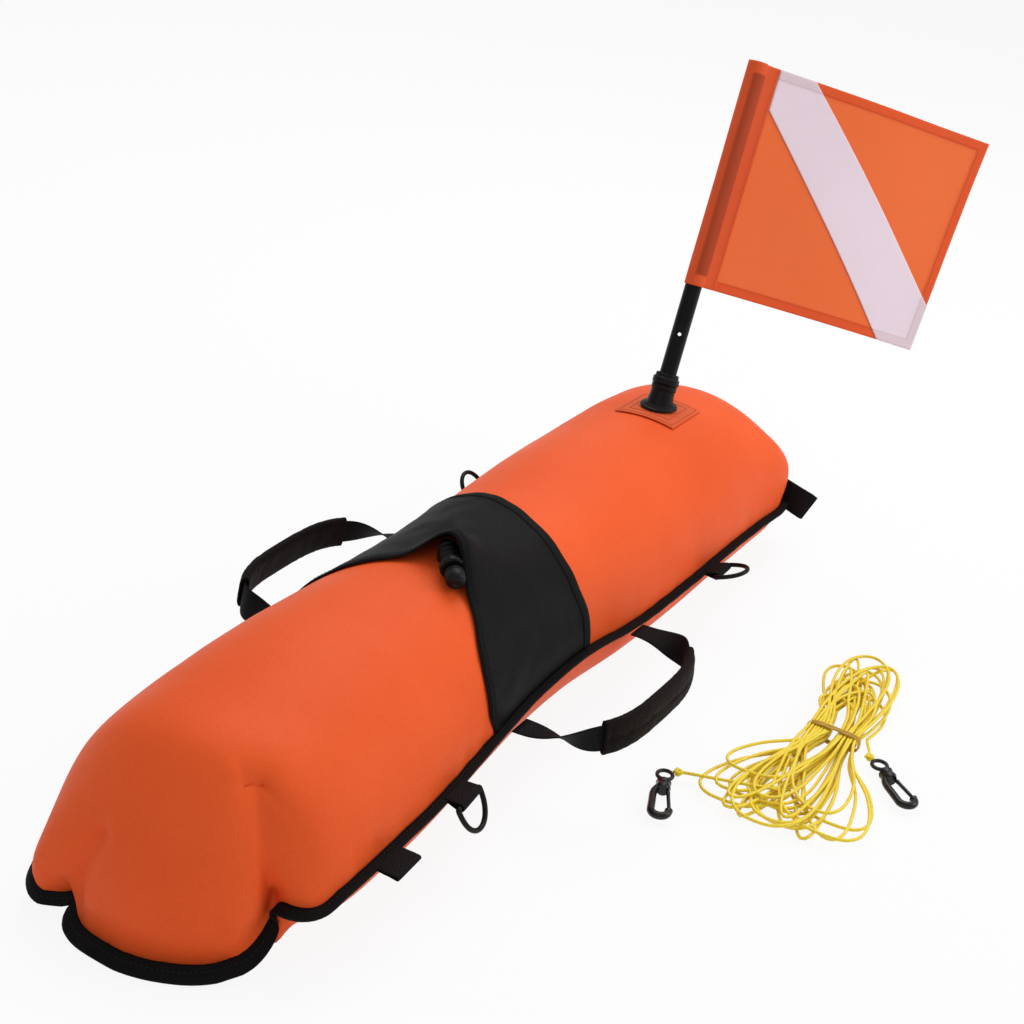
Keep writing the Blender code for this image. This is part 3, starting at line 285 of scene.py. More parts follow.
def body_row(x, inset=0.0):
    """Half width, seam height and arch height of the body at a place along it."""
    place = (x + TAIL_REACH) / BODY_LENGTH
    tip = NOSE_TIP_HALF_WIDTH if x > 0.0 else TAIL_TIP_HALF_WIDTH
    width = tip + (HALF_WIDTH * read_table(BODY_SHARES, place) - tip) * end_share(x, inset, WIDTH_END_POWER)
    arch = ARCH_HEIGHT * read_table(BODY_SHARES, place, 2) * end_share(x, inset, ARCH_END_POWER)
    return width - inset, SEAM_HEIGHT * read_table(BODY_SHARES, place, 3), max(arch - inset, 0.0)


def smooth_point(x, turn, inset=0.0, lower=False):
    """A point of the blown-up body before its creases: turn 0 is the right seam, pi the left one."""
    width, seam, arch = body_row(x, inset)
    y = -width * math.cos(turn)
    near_tail, near_right = bounded((SLANT_LENGTH - TAIL_REACH - x) / SLANT_LENGTH), bounded(-y / HALF_WIDTH)
    rise = max(math.sin(turn), 0.0) ** ARCH_POWER
    if lower:
        drop = max(seam - inset, 0.0) * min(1.0, BELLY_FULLNESS * rise)
        z = seam - drop * end_share(x, inset, BELLY_END_POWER)
    else:
        z = seam + arch * rise
    return Vector((x + TAIL_SLANT * (near_tail * near_right) ** SLANT_POWER, y, z))


def crease_side(offset, lap):
    """Which side of a crease an offset from it lies on: -1 on the near one, 1 on the far one."""
    return math.tanh(offset.dot(lap) / lap.length / LAP_STEP)


def slack(point):
    """How far the creases and lobes move a point of the smooth body."""
    moved = Vector()
    for foot, top, foot_pull, top_pull, lap, foot_width, top_width, fade in CREASES:
        foot, lap = Vector(foot), Vector(lap)
        line = Vector(top) - foot
        along = (point - foot).dot(line) / line.length_squared
        share = bounded(along)
        offset = point - foot - line * along
        aside, side = offset.length, crease_side(offset, lap)
        width = foot_width + (top_width - foot_width) * share
        width *= 1.0 + FAR_WIDENS * max(side, 0.0) * (1.0 - FAR_FADES_SHARE * share)
        past = max(along - 1.0, -along - CREASE_OVERRUN_SHARE, 0.0) * line.length
        if aside > CREASE_WIDTHS_ASIDE * width or past > CREASE_WIDTHS_PAST * width:
            continue
        cusp = math.exp(-(math.hypot(aside, CUSP_ROUND) - CUSP_ROUND) / width)
        cusp *= math.exp(-((past / width) ** 2))
        pull = Vector(foot_pull) * (1.0 - share) ** fade + Vector(top_pull) * share
        moved += (pull + lap * (0.5 - 0.5 * side) * (1.0 - share)) * cusp
    for middle, push, reach, crease, side in LOBES:
        swell = math.exp(-((point - Vector(middle)).length / reach) ** 2)
        if crease is not None:
            foot, lap = Vector(CREASES[crease][0]), Vector(CREASES[crease][4])
            swell *= 0.5 + 0.5 * crease_side((point - foot) * side, lap)
        moved += Vector(push) * swell
    return moved


def skin(x, turn, lift=0.0, lower=False):
    """A point of the creased cover, or one that stands off it."""
    point = smooth_point(x, turn, 0.0, lower)
    point += slack(point)
    if lift:
        point += skin_normal(x, turn) * lift
    return point


def skin_normal(x, turn):
    along = skin(x + SKIN_STEP, turn) - skin(x - SKIN_STEP, turn)
    across = skin(x, turn + 4.0 * SKIN_STEP) - skin(x, turn - 4.0 * SKIN_STEP)
    return along.cross(across).normalized()


def row_place(share, inset=0.0):
    """Rows stand closer together at the tail and nose."""
    swung = (1.0 - math.cos(math.pi * share)) / 2.0
    spread = ROW_EASE_SHARE * swung + (1.0 - ROW_EASE_SHARE) * share
    return -TAIL_REACH + inset + spread * (BODY_LENGTH - 2.0 * inset)


def wrinkled(point, turn, x):
    """Small gathers next to the seam and slow waves over the rest, as a height off the cloth."""
    past_end = max(-(x + TAIL_REACH - CALM_END) / CALM_END, (x - NOSE_REACH + CALM_END) / CALM_END, 0.0)
    rise = math.sin(turn) * (1.0 - min(past_end, 1.0)) * 0.12
    near_seam = math.exp(-rise / GATHER_REACH)
    gather = noise_at(point.x * GATHERS_PER_METRE, point.y * GATHERS_PER_METRE, 2.0)
    wave = noise.noise(point * 9.0) + 0.35 * noise.noise(point * 23.0 + Vector((3.0, 1.0, 7.0)))
    edge = min(rise / 0.004, 1.0)
    return (GATHER_HEIGHT * gather * near_seam + SAG_HEIGHT * wave * (1.0 - 0.6 * near_seam)) * edge


def shaped_grid(rows, columns, place, length, girth):
    """A grid moved point by point to place(share along, share across), with a UV map in metres."""
    shape = bmesh.new()
    layer = shape.loops.layers.uv.new("UVMap")
    bmesh.ops.create_grid(shape, x_segments=rows, y_segments=columns, size=1.0, calc_uvs=True)
    for face in shape.faces:
        for loop in face.loops:
            loop[layer].uv = (loop[layer].uv.x * length, loop[layer].uv.y * girth)
    for vertex in shape.verts:
        vertex.co = place((vertex.co.x + 1.0) / 2.0, (vertex.co.y + 1.0) / 2.0)
    return shape


def add_piece(name, shape, material, body, stands_for=(), sharp_degrees=None):
    """Makes the object, lets it ride on its body and hides the CAD parts it stands for."""
    mesh = bpy.data.meshes.new(name)
    shape.to_mesh(mesh)
    shape.free()
    mesh.shade_smooth()
    if sharp_degrees:
        mesh.set_sharp_from_angle(angle=math.radians(sharp_degrees))
    mesh.materials.append(material)
    made = bpy.data.objects.new(name, mesh)
    scene.collection.objects.link(made)
    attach(made, body)
    if stands_for:
        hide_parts(*stands_for)
    return made


def give_wall(made, thickness, offset=-1.0):
    wall = made.modifiers.new("cloth thickness", "SOLIDIFY")
    wall.thickness = thickness
    wall.offset = offset
    return wall


def maths(tree, operation, first, second=0.0, third=None):
    """A Math node; each value is a number or another node's socket."""
    node = tree.nodes.new("ShaderNodeMath")
    node.operation = operation
    for index, value in enumerate((first, second, third)):
        if isinstance(value, (int, float)):
            node.inputs[index].default_value = value
        elif value is not None:
            tree.links.new(value, node.inputs[index])
    return node.outputs[0]


def noise_value(tree, place, scale, detail=2.0, roughness=0.5):
    node = tree.nodes.new("ShaderNodeTexNoise")
    node.inputs["Scale"].default_value = scale
    node.inputs["Detail"].default_value = detail
    node.inputs["Roughness"].default_value = roughness
    tree.links.new(place, node.inputs["Vector"])
    return node.outputs["Fac"]


def blend_colour(tree, share, first, second):
    """Mixes two colours by a share; each may be a colour or a socket."""
    node = tree.nodes.new("ShaderNodeMix")
    node.data_type = "RGBA"
    colours = [socket for socket in node.inputs if socket.type == "RGBA"]
    tree.links.new(share, node.inputs["Factor"])
    for value, socket in zip((first, second), colours):
        if isinstance(value, tuple):
            socket.default_value = value
        else:
            tree.links.new(value, socket)
    return [socket for socket in node.outputs if socket.type == "RGBA"][0]


def bumped(tree, height, strength, distance, normal=None):
    """A Bump node over another one's normal, if given; returns its own normal."""
    node = tree.nodes.new("ShaderNodeBump")
    node.inputs["Strength"].default_value = strength
    node.inputs["Distance"].default_value = distance
    tree.links.new(height, node.inputs["Height"])
    if normal:
        tree.links.new(normal, node.inputs["Normal"])
    return node.outputs["Normal"]


def new_group(name, kinds, values=None):
    """An empty shader group: its inputs by label and kind, some with values, and three outputs."""
    group = bpy.data.node_groups.new(name, "ShaderNodeTree")
    for label, kind in kinds.items():
        socket = group.interface.new_socket(label, in_out="INPUT", socket_type="NodeSocket" + kind)
        if values and label in values:
            socket.default_value = values[label]
    for label, kind in (("Colour", "Color"), ("Roughness", "Float"), ("Height", "Float")):
        group.interface.new_socket(label, in_out="OUTPUT", socket_type="NodeSocket" + kind)
    return group, group.nodes.new("NodeGroupInput").outputs, group.nodes.new("NodeGroupOutput").inputs


def end_group(group, end, share, first, second, rough, height):
    """Gives out two colours blended by a bounded share, the roughness and the height."""
    clamp = group.nodes.new("ShaderNodeClamp")
    group.links.new(share, clamp.inputs["Value"])
    colour = blend_colour(group, clamp.outputs[0], first, second)
    for label, value in (("Colour", colour), ("Roughness", rough), ("Height", height)):
        group.links.new(value, end[label])
    return group


def make_weave_group():
    """Plain woven cloth from its UV map: threads over and under, painted shade between them, uneven dye and a
    slightly uneven coating.
    """
    kinds = {"UV": "Vector", "Place": "Vector", "Thread": "Float", "Colour": "Color", "Shade": "Color"}
    kinds["Roughness"] = "Float"
    group, start, end = new_group("plain weave", kinds, {"Thread": 0.0008, "Roughness": 0.5})
    split = group.nodes.new("ShaderNodeSeparateXYZ")
    group.links.new(start["UV"], split.inputs[0])
    waves = []
    for axis in ("X", "Y"):
        turns = maths(group, "DIVIDE", split.outputs[axis], start["Thread"])
        waves.append(maths(group, "SINE", maths(group, "MULTIPLY", turns, math.pi)))
    threads = maths(group, "MULTIPLY_ADD", maths(group, "MULTIPLY", waves[0], waves[1]), 0.5, 0.5)
    patches = noise_value(group, start["Place"], 7.0, 3.0)
    specks = noise_value(group, start["Place"], 420.0, 2.0)
    mottle = maths(group, "MULTIPLY_ADD", specks, 0.35, maths(group, "MULTIPLY", patches, 0.65))
    shade = maths(group, "MULTIPLY", maths(group, "SUBTRACT", mottle, 0.28), 1.4)
    # Painted shade: where the weave dips between its threads, the colour leans towards the darker one.
    shade = maths(group, "MULTIPLY_ADD", threads, -0.12, shade)
    rough = maths(group, "MULTIPLY_ADD", maths(group, "SUBTRACT", mottle, 0.5), 0.35, start["Roughness"])
    height = maths(group, "MULTIPLY_ADD", specks, 0.4, threads)
    return end_group(group, end, shade, start["Colour"], start["Shade"], rough, height)


WEAVE = make_weave_group()


def grouped_material(name, group, values, bump, distance, constants):
    """A material whose colour, roughness and bump come from a group; constants go on the shader itself."""
    made = bpy.data.materials.new(name)
    made.use_nodes = True
    tree = made.node_tree
    shader = tree.nodes["Principled BSDF"]
    spots = tree.nodes.new("ShaderNodeTexCoord")
    surface = tree.nodes.new("ShaderNodeGroup")
    surface.node_tree = group
    for label, value in values.items():
        surface.inputs[label].default_value = value
    for label, spot in (("UV", "UV"), ("Place", "Object")):
        if label in surface.inputs:
            tree.links.new(spots.outputs[spot], surface.inputs[label])
    tree.links.new(surface.outputs["Colour"], shader.inputs["Base Color"])
    tree.links.new(surface.outputs["Roughness"], shader.inputs["Roughness"])
    tree.links.new(bumped(tree, surface.outputs["Height"], bump, distance), shader.inputs["Normal"])
    for label, value in constants.items():
        shader.inputs[label].default_value = value
    return made


def cloth_material(
    name, colour, shade, thread, roughness, sheen, sheen_colour, bump=0.25, creases=0.0, gloss=0.16
):
    """A woven cloth, with soft creases over the weave where they are asked for."""
    values = {"Thread": thread, "Colour": colour, "Shade": shade, "Roughness": roughness}
    constants = {"Sheen Weight": sheen, "Sheen Roughness": 0.4, "Sheen Tint": sheen_colour}
    constants["Specular IOR Level"] = gloss
    made = grouped_material(name, WEAVE, values, bump, 0.0003, constants)
    if creases:
        tree = made.node_tree
        normal = tree.nodes["Principled BSDF"].inputs["Normal"]
        spots = tree.nodes["Texture Coordinate"]
        folds = noise_value(tree, spots.outputs["Object"], 26.0, 4.0, 0.6)
        tree.links.new(bumped(tree, folds, creases, 0.004, normal.links[0].from_socket), normal)
    return made


orange_cloth = cloth_material(
    "orange coated nylon", tone(250, 99, 42), tone(230, 80, 28), 0.0009, 0.52, 0.02, tone(255, 170, 130),
    0.3, 0.10,
)


def upper_cover_point(along, across):
    x, turn = row_place(along), math.pi * across
    return skin(x, turn, wrinkled(smooth_point(x, turn), turn, x))


def lower_cover_point(along, across):
    point = skin(row_place(along), math.pi * (1.0 - across), lower=True)
    point.z = max(point.z, CLOTH_THICKNESS / 4.0)
    return point


for name, columns, place, node in (
    ("cover_top_sheet", COVER_COLUMNS, upper_cover_point, "cover_upper"),
    ("cover_bottom_sheet", COVER_COLUMNS // 2, lower_cover_point, "cover_lower"),
):
    shape = shaped_grid(COVER_ROWS, columns, place, BODY_LENGTH, ARCH_GIRTH)
    sheet_piece = add_piece(name, shape, orange_cloth, "float", [node])
    give_wall(sheet_piece, CLOTH_THICKNESS)


# The bladder is a welded bag of clear film that holds the air; the cover takes its shape from it.
# It lies inside the cover, drawn in wherever the cover is creased.

BLADDER_INSET = 0.0080
BLADDER_MIDDLE = Vector((-0.380, 0.0, 0.070))
BLADDER_DRAW = 1.4
BLADDER_DRAW_MOST = 0.034
BLADDER_ROWS = 90
BLADDER_COLUMNS = 64

bladder_film = cloth_material(
    "clear bladder film", tone(214, 208, 212), tone(196, 190, 196), 0.004, 0.28, 0.0, tone(255, 255, 255), 0.1
)


def closed_up(shape, fill=True):
    """Welds the edges that meet, fills the open ends and turns the faces outwards."""
    bmesh.ops.remove_doubles(shape, verts=shape.verts, dist=1e-6)
    rims = [edge for edge in shape.edges if edge.is_boundary]
    if fill and rims:
        bmesh.ops.holes_fill(shape, edges=rims, sides=0)
    bmesh.ops.recalc_face_normals(shape, faces=shape.faces)
    return shape


def bladder_point(along, across):
    x = row_place(along, BLADDER_INSET)
    lower = across >= 0.5
    turn = 2.0 * math.pi * (1.0 - across if lower else across)
    point = smooth_point(x, turn, BLADDER_INSET, lower)
    pull = slack(smooth_point(x, turn, 0.0, lower))
    inward = (BLADDER_MIDDLE - point).normalized()
    return point + pull + inward * min(BLADDER_DRAW * pull.length, BLADDER_DRAW_MOST)


bladder_shape = shaped_grid(BLADDER_ROWS, BLADDER_COLUMNS, bladder_point, BODY_LENGTH, 2.0 * ARCH_GIRTH)
bladder = add_piece(
    "bladder_bag", closed_up(bladder_shape), bladder_film, "float", ["bladder"]
)


# Black tape is folded over the raw edges of both sheets and stitched through, all the way round the seam.
# Along the sides it stands out flat; round the tail it is wider and hangs down, most of all on the left.

BINDING_WIDTH = 0.0095
BINDING_THICKNESS = 0.0034
BINDING_LAP = 0.0008
BINDING_FLOOR = 0.0002
TAIL_BINDING_WIDTH = 0.0145
TAIL_DROOP = math.radians(-34.0)
TAIL_HANGS_FROM = -0.430
TAIL_HANG_RUN = 0.050
LEFT_BINDING_WIDTH = 0.0110
LEFT_DROOP = math.radians(-58.0)
LEFT_HANGS_FROM = 0.045
LEFT_HANG_RUN = 0.020
SEAM_POINTS = 720
SEAM_STITCHES = 620
STITCH_PLACE_SHARE = 0.36
TAPE_COLUMNS = 16
UP = Vector((0.0, 0.0, 1.0))

black_webbing = cloth_material(
    "black nylon tape", tone(18, 17, 17), tone(8, 8, 8), 0.0011, 0.72, 0.02, tone(120, 120, 130), 0.6,
    gloss=0.1,
)


def seam_run():
    """The seam's points once round, from the right of the tail."""
    rows = [row_place(index / COVER_ROWS) for index in range(COVER_ROWS + 1)]
    turns = [math.pi * step / COVER_COLUMNS for step in range(1, COVER_COLUMNS)]
    points = [skin(x, 0.0) for x in rows]
    points += [skin(rows[-1], turn) for turn in turns]
    points += [skin(x, math.pi) for x in reversed(rows)]
    return points + [skin(rows[0], turn) for turn in reversed(turns)]


def evenly_spaced(points, count, closed=False):
    """The same path with its points a constant distance apart, and its length."""
    path = points + [points[0]] if closed else points
    lengths = [0.0]
    for first, second in zip(path, path[1:]):
        lengths.append(lengths[-1] + (second - first).length)
    spaced, index = [], 0
    for step in range(count if closed else count + 1):
        goal = lengths[-1] * step / count
        while index < len(path) - 2 and lengths[index + 1] < goal:
            index += 1
        gap = lengths[index + 1] - lengths[index]
        spaced.append(path[index].lerp(path[index + 1], (goal - lengths[index]) / gap if gap else 0.0))
    return spaced, lengths[-1]


def powered(value, power):
    """A power that keeps the value's sign, for rounded boxes and flattened arcs."""
    return math.copysign(abs(value) ** power, value)


def rounded_section(across, half_width, half_thickness, power=0.35):
    """A point of a strap's cross-section: a flat bar with rounded edges."""
    turn = 2.0 * math.pi * across
    return half_width * powered(math.cos(turn), power), half_thickness * powered(math.sin(turn), power)


def smoothed(values, passes, closed=True):
    for _ in range(passes):
        count = len(values)
        values = [
            (values[index - 1] + values[index] * 2.0 + values[(index + 1) % count]) / 4.0
            if closed or 0 < index < count - 1
            else values[index]
            for index in range(count)
        ]
    return values


def leaning(out, angle):
    """A level direction raised by an angle, and the upright one raised with it."""
    return out * math.cos(angle) + UP * math.sin(angle), UP * math.cos(angle) - out * math.sin(angle)


seam_points, seam_length = evenly_spaced(seam_run(), SEAM_POINTS, closed=True)
seam_out = []
for index in range(SEAM_POINTS):
    run = seam_points[(index + 2) % SEAM_POINTS] - seam_points[index - 2]
    seam_out.append(Vector((run.y, -run.x, 0.0)).normalized())
seam_out = [out.normalized() for out in smoothed(seam_out, 6)]


def eased(value):
    """A bounded share that starts and ends slowly."""
    part = bounded(value)
    return part * part * (3.0 - 2.0 * part)


def tape_hang(root, out):
    """The tape's width at a place on the seam, with its directions away from the cover and over itself."""
    tail = eased((TAIL_HANGS_FROM - root.x) / TAIL_HANG_RUN)
    left = eased((root.y - LEFT_HANGS_FROM) / LEFT_HANG_RUN)
    width = TAIL_BINDING_WIDTH + (LEFT_BINDING_WIDTH - TAIL_BINDING_WIDTH) * left
    droop = TAIL_DROOP + (LEFT_DROOP - TAIL_DROOP) * left
    return BINDING_WIDTH + (width - BINDING_WIDTH) * tail, *leaning(out, droop * tail)


def binding_point(along, across):
    index = round(along * SEAM_POINTS) % SEAM_POINTS
    root = seam_points[index]
    width, away, over = tape_hang(root, seam_out[index])
    wide, deep = rounded_section(across, width / 2.0, BINDING_THICKNESS / 2.0)
    ripple = 0.0005 * noise.noise(root * 60.0) + 0.0002 * noise.noise(root * 240.0)
    point = root + away * (width / 2.0 - BINDING_LAP + wide) + over * (deep + ripple)
    point.z = max(point.z, BINDING_FLOOR)
    return point


add_piece(
    "seam_tape",
    closed_up(shaped_grid(SEAM_POINTS, TAPE_COLUMNS, binding_point, seam_length, 0.024)),
    black_webbing, "float", ["seam_binding"],
)


def stitch_row(name, place, count, length, thread, material, body):
    """Thread as a row of short raised stitches; place(share) gives a point of the cloth and the way up."""
    shape = bmesh.new()
    for index in range(count):
        share = (index + 0.5) / count
        spot, up = place(share)
        run = (place(share + 0.3 / count)[0] - spot).normalized()
        aside = run.cross(up).normalized()
        up = aside.cross(run)
        at = Matrix.Translation(spot + up * thread * 0.25) @ axes(run * length, aside * thread, up * thread)
        bmesh.ops.create_uvsphere(shape, u_segments=6, v_segments=4, radius=0.5, matrix=at)
    bmesh.ops.recalc_face_normals(shape, faces=shape.faces)
    return add_piece(name, shape, material, body)


def thread_material(name, colour):
    """Sewing thread: a fine twisted sheen over its own colour."""
    made = bpy.data.materials.new(name)
    made.use_nodes = True
    tree = made.node_tree
    shader = tree.nodes["Principled BSDF"]
    spots = tree.nodes.new("ShaderNodeTexCoord")
    fuzz = noise_value(tree, spots.outputs["Object"], 900.0, 2.0)
    darker = tuple(part * 0.55 for part in colour[:3]) + (1.0,)
    tree.links.new(blend_colour(tree, fuzz, darker, colour), shader.inputs["Base Color"])
    tree.links.new(maths(tree, "MULTIPLY_ADD", fuzz, 0.3, 0.45), shader.inputs["Roughness"])
    shader.inputs["Specular IOR Level"].default_value = 0.3
    return made


black_thread = thread_material("black thread", tone(34, 32, 35))


def tape_top(share):
    """The tape's upper face, a third of its width in from the cover."""
    index = int(share * SEAM_POINTS) % SEAM_POINTS
    part = share * SEAM_POINTS - int(share * SEAM_POINTS)
    root = seam_points[index].lerp(seam_points[(index + 1) % SEAM_POINTS], part)
    width, away, over = tape_hang(root, seam_out[index])
    return root + away * width * STITCH_PLACE_SHARE + over * (BINDING_THICKNESS / 2.0 + 0.0003), over


stitch_row("seam_stitches", tape_top, SEAM_STITCHES, 0.0026, 0.0006, black_thread, "float")


# A panel of black coated nylon lies over the float's middle, with a bound edge at each end.
# It is sewn into the seam on both sides, and its tail edge is tented over the valve.

PANEL_THICKNESS = 0.0011
PANEL_GAP = 0.0008
PANEL_ROWS = 96
PANEL_COLUMNS = 170
PANEL_MARGIN = 1.2
# The panel's two edges: degrees round the body from the right seam, then metres along the float
PANEL_NOSE_EDGE = (
    (0.0, -0.0220), (8.0, -0.0230), (36.0, -0.0270), (60.0, -0.0190), (84.0, -0.0055),
    (105.0, 0.0080), (118.0, 0.0100), (150.0, 0.0110), (180.0, 0.0110),
)
PANEL_TAIL_EDGE = (
    (0.0, -0.1960), (12.0, -0.2060), (36.0, -0.1957), (56.0, -0.1680), (66.0, -0.1565), (81.0, -0.1410),
    (89.0, -0.1427), (100.0, -0.1565), (113.0, -0.1680), (140.0, -0.1940), (165.0, -0.2040), (180.0, -0.2040),
)
TENT_TOP = (-0.1400, -0.0180)
TENT_HEIGHT = 0.0300
TENT_REACH = 0.024
TENT_RUN = 0.036
RIDGE = ((-0.004, 0.066), (-0.086, 0.006), (-0.132, -0.014))
RIDGE_HEIGHT = 0.0052
EDGE_TAPE_WIDTH = 0.0095
EDGE_TAPE_THICKNESS = 0.0026
EDGE_STITCHES = 96
PANEL_LENGTH = 0.19
PANEL_GIRTH = 0.32


def near_line(spot, line):
    """Distance from a point to a run of straight lines, and how far along them it is nearest."""
    best = (math.inf, 0.0)
    for index, (first, second) in enumerate(zip(line, line[1:])):
        first, second = Vector(first), Vector(second)
        run = second - first
        share = bounded((spot - first).dot(run) / run.length_squared)
        best = min(best, ((spot - first - run * share).length, (index + share) / (len(line) - 1)))
    return best


def panel_lift(x, turn):
    """How far the panel stands off the cover: flat at its sides, tented over the valve, with a ridge."""
    spot = smooth_point(x, turn).xy
    ahead, aside = spot.x - TENT_TOP[0], spot.y - TENT_TOP[1]
    reach = TENT_RUN if ahead > 0.0 else TENT_REACH
    tent = TENT_HEIGHT * math.exp(-((ahead / reach) ** 2) - (aside / TENT_REACH) ** 2)
    away, along = near_line(spot, RIDGE)
    ridge = RIDGE_HEIGHT * math.exp(-(math.hypot(away, 0.002) - 0.002) / 0.011) * (0.25 + 0.75 * along)
    slack_wave = 0.0011 * (noise_at(x * 34.0, turn * 5.0, 5.0) + 0.5)
    side = min(math.sin(turn) / 0.35, 1.0)
    return PANEL_GAP + (max(tent, ridge) + 0.35 * min(tent, ridge) + slack_wave) * side


def panel_spot(along, turn, lift=0.0):
    tail = read_table(PANEL_TAIL_EDGE, math.degrees(turn))
    nose = read_table(PANEL_NOSE_EDGE, math.degrees(turn))
    x = tail + (nose - tail) * along
    return skin(x, turn, panel_lift(x, turn) + lift)


def panel_turn(across):
    return math.radians(PANEL_MARGIN + (180.0 - 2.0 * PANEL_MARGIN) * across)


panel_cloth = cloth_material(
    "black coated nylon", tone(24, 23, 24), tone(14, 13, 14), 0.0010, 0.54, 0.01, tone(150, 155, 175),
    0.35, 0.22, 0.06,
)
panel = add_piece(
    "panel_sheet",
    shaped_grid(
        PANEL_ROWS, PANEL_COLUMNS, lambda along, across: panel_spot(along, panel_turn(across)),
        PANEL_LENGTH, PANEL_GIRTH,
    ),
    panel_cloth, "float", ["wrap_panel"],
)
give_wall(panel, PANEL_THICKNESS, 1.0)


def swept(path, closed, columns, ring, girth):
    """A closed skin round a path; ring(spot, index, run, share round) gives its points."""
    count = len(path)
    rows = count if closed else count - 1

    def place(along, across):
        index = round(along * rows) % count
        if closed:
            run = path[(index + 1) % count] - path[index - 1]
        else:
            run = path[min(index + 1, count - 1)] - path[max(index - 1, 0)]
        return ring(path[index], index, run, across)

    length = sum((second - first).length for first, second in zip(path, path[1:]))
    return closed_up(shaped_grid(rows, columns, place, length, girth))


def strap_shape(path, sides, width, thickness):
    """Webbing swept along a path; sides holds the unit vector across its width at each point."""

    def ring(spot, index, run, across):
        over = run.cross(sides[index]).normalized()
        wide, deep = rounded_section(across, width / 2.0, thickness / 2.0, 0.3)
        return spot + sides[index] * wide + over * deep

    return swept(path, False, TAPE_COLUMNS, ring, 2.0 * (width + thickness))


# The tape is folded over each edge of the panel and stitched through both layers
for name, edge, inward in (("panel_nose_tape", 1.0, -1.0), ("panel_tail_tape", 0.0, 1.0)):
    path, sides = [], []
    for step in range(PANEL_COLUMNS + 1):
        turn = panel_turn(step / PANEL_COLUMNS)
        spot, near = (
            panel_spot(edge + inward * shift, turn, PANEL_THICKNESS / 2.0) for shift in (0.02, 0.06)
        )
        path.append(spot)
        sides.append((near - spot).normalized())
    path = [spot + side * (EDGE_TAPE_WIDTH * 0.34) for spot, side in zip(path, sides)]
    shape = strap_shape(path, sides, EDGE_TAPE_WIDTH, EDGE_TAPE_THICKNESS)
    add_piece(name, shape, black_webbing, "float")
    top = [spot + side * EDGE_TAPE_WIDTH * 0.28 for spot, side in zip(path, sides)]

    def edge_stitch(share, edge=edge, top=top):
        index = min(int(share * PANEL_COLUMNS), PANEL_COLUMNS - 1)
        turn = panel_turn(share)
        up = skin_normal(panel_spot(edge, turn).x, turn)
        spot = top[index].lerp(top[index + 1], share * PANEL_COLUMNS - index)
        return spot + up * (EDGE_TAPE_THICKNESS / 2.0 + 0.0002), up

    stitch_row(
        name + "_stitches", edge_stitch, EDGE_STITCHES, 0.0024, 0.0005, black_thread, "float"
    )


# The inflation valve is a ribbed rubber hose that lies on the cover under the panel's lip.
# A lock ring turns on its mouth, and a domed mouthpiece presses in to let air through.

HOSE_RADIUS = 0.0090
HOSE_LENGTH = 0.024
HOSE_RIBS = 4
RIB_DEPTH = 0.0016
STUB_RADIUS = 0.0080
STUB_DEPTH = 0.026
LOCK_RING_RADIUS = 0.0112
LOCK_RING_LENGTH = 0.0075
LOCK_RING_GRIPS = 18
MOUTH_RADIUS = 0.0088
MOUTH_LENGTH = 0.0150
MOUTH_TRAVEL = 0.004
DOME_STEPS = 8
STEM_RADIUS = 0.0045
FIT_GAP = 0.0003
HOSE_FLOOR = 1.2 * STUB_RADIUS
SHARP_EDGE = 40.0


def make_mould_group():
    """Moulded plastic or rubber from its place on the object: fine grain, faint flow marks and wear."""
    kinds = {"Place": "Vector", "Colour": "Color", "Worn": "Color", "Roughness": "Float", "Grain": "Float"}
    group, start, end = new_group("moulded grain", kinds, {"Roughness": 0.4, "Grain": 900.0})
    grain = noise_value(group, start["Place"], 1.0, 3.0)
    group.links.new(start["Grain"], grain.node.inputs["Scale"])
    marks = noise_value(group, start["Place"], 60.0, 4.0, 0.65)
    wear = maths(group, "MULTIPLY", maths(group, "SUBTRACT", marks, 0.52), 3.0)
    rough = maths(group, "MULTIPLY_ADD", maths(group, "SUBTRACT", marks, 0.5), 0.4, start["Roughness"])
    return end_group(group, end, wear, start["Colour"], start["Worn"], rough, grain)


MOULDED = make_mould_group()


def moulded_material(name, colour, worn, roughness, grain, bump, coat=0.0, gloss=0.3):
    values = {"Colour": colour, "Worn": worn, "Roughness": roughness, "Grain": grain}
    constants = {"Coat Weight": coat, "Specular IOR Level": gloss}
    return grouped_material(name, MOULDED, values, bump, 0.0002, constants)


black_plastic = moulded_material(
    "black plastic", tone(17, 15, 15), tone(27, 25, 25), 0.40, 700.0, 0.25, 0.02, 0.14
)
black_rubber = moulded_material(
    "black rubber", tone(17, 16, 17), tone(27, 26, 26), 0.46, 1100.0, 0.4, 0.0, 0.18
)


def softened(outline, radius, steps=4):
    """The outline with each corner between its ends rounded."""
    rounded = [Vector(outline[0])]
    for before, corner, after in zip(outline, outline[1:], outline[2:]):
        corner, before, after = Vector(corner), Vector(before), Vector(after)
        reach = min(radius, (before - corner).length * 0.45, (after - corner).length * 0.45)
        first = corner + (before - corner).normalized() * reach
        last = corner + (after - corner).normalized() * reach
        for step in range(steps + 1):
            part = step / steps
            rounded.append(first.lerp(corner, part).lerp(corner.lerp(last, part), part))
    return rounded + [Vector(outline[-1])]


def spun(shape, outline, place, axis, steps=64, closed=False):
    """Turns an outline of (radius, height) points once about an axis through a place."""
    upright = Matrix.Translation(place) @ axis.to_track_quat("Z", "X").to_matrix().to_4x4()
    points = [shape.verts.new(upright @ Vector((radius, 0.0, height))) for radius, height in outline]
    edges = [shape.edges.new(pair) for pair in zip(points, points[1:])]
    if closed:
        edges.append(shape.edges.new((points[-1], points[0])))
    bmesh.ops.spin(
        shape, geom=points + edges, cent=place, axis=axis, dvec=(0.0, 0.0, 0.0),
        angle=2.0 * math.pi, steps=steps, use_merge=True,
    )
    return closed_up(shape, fill=False)


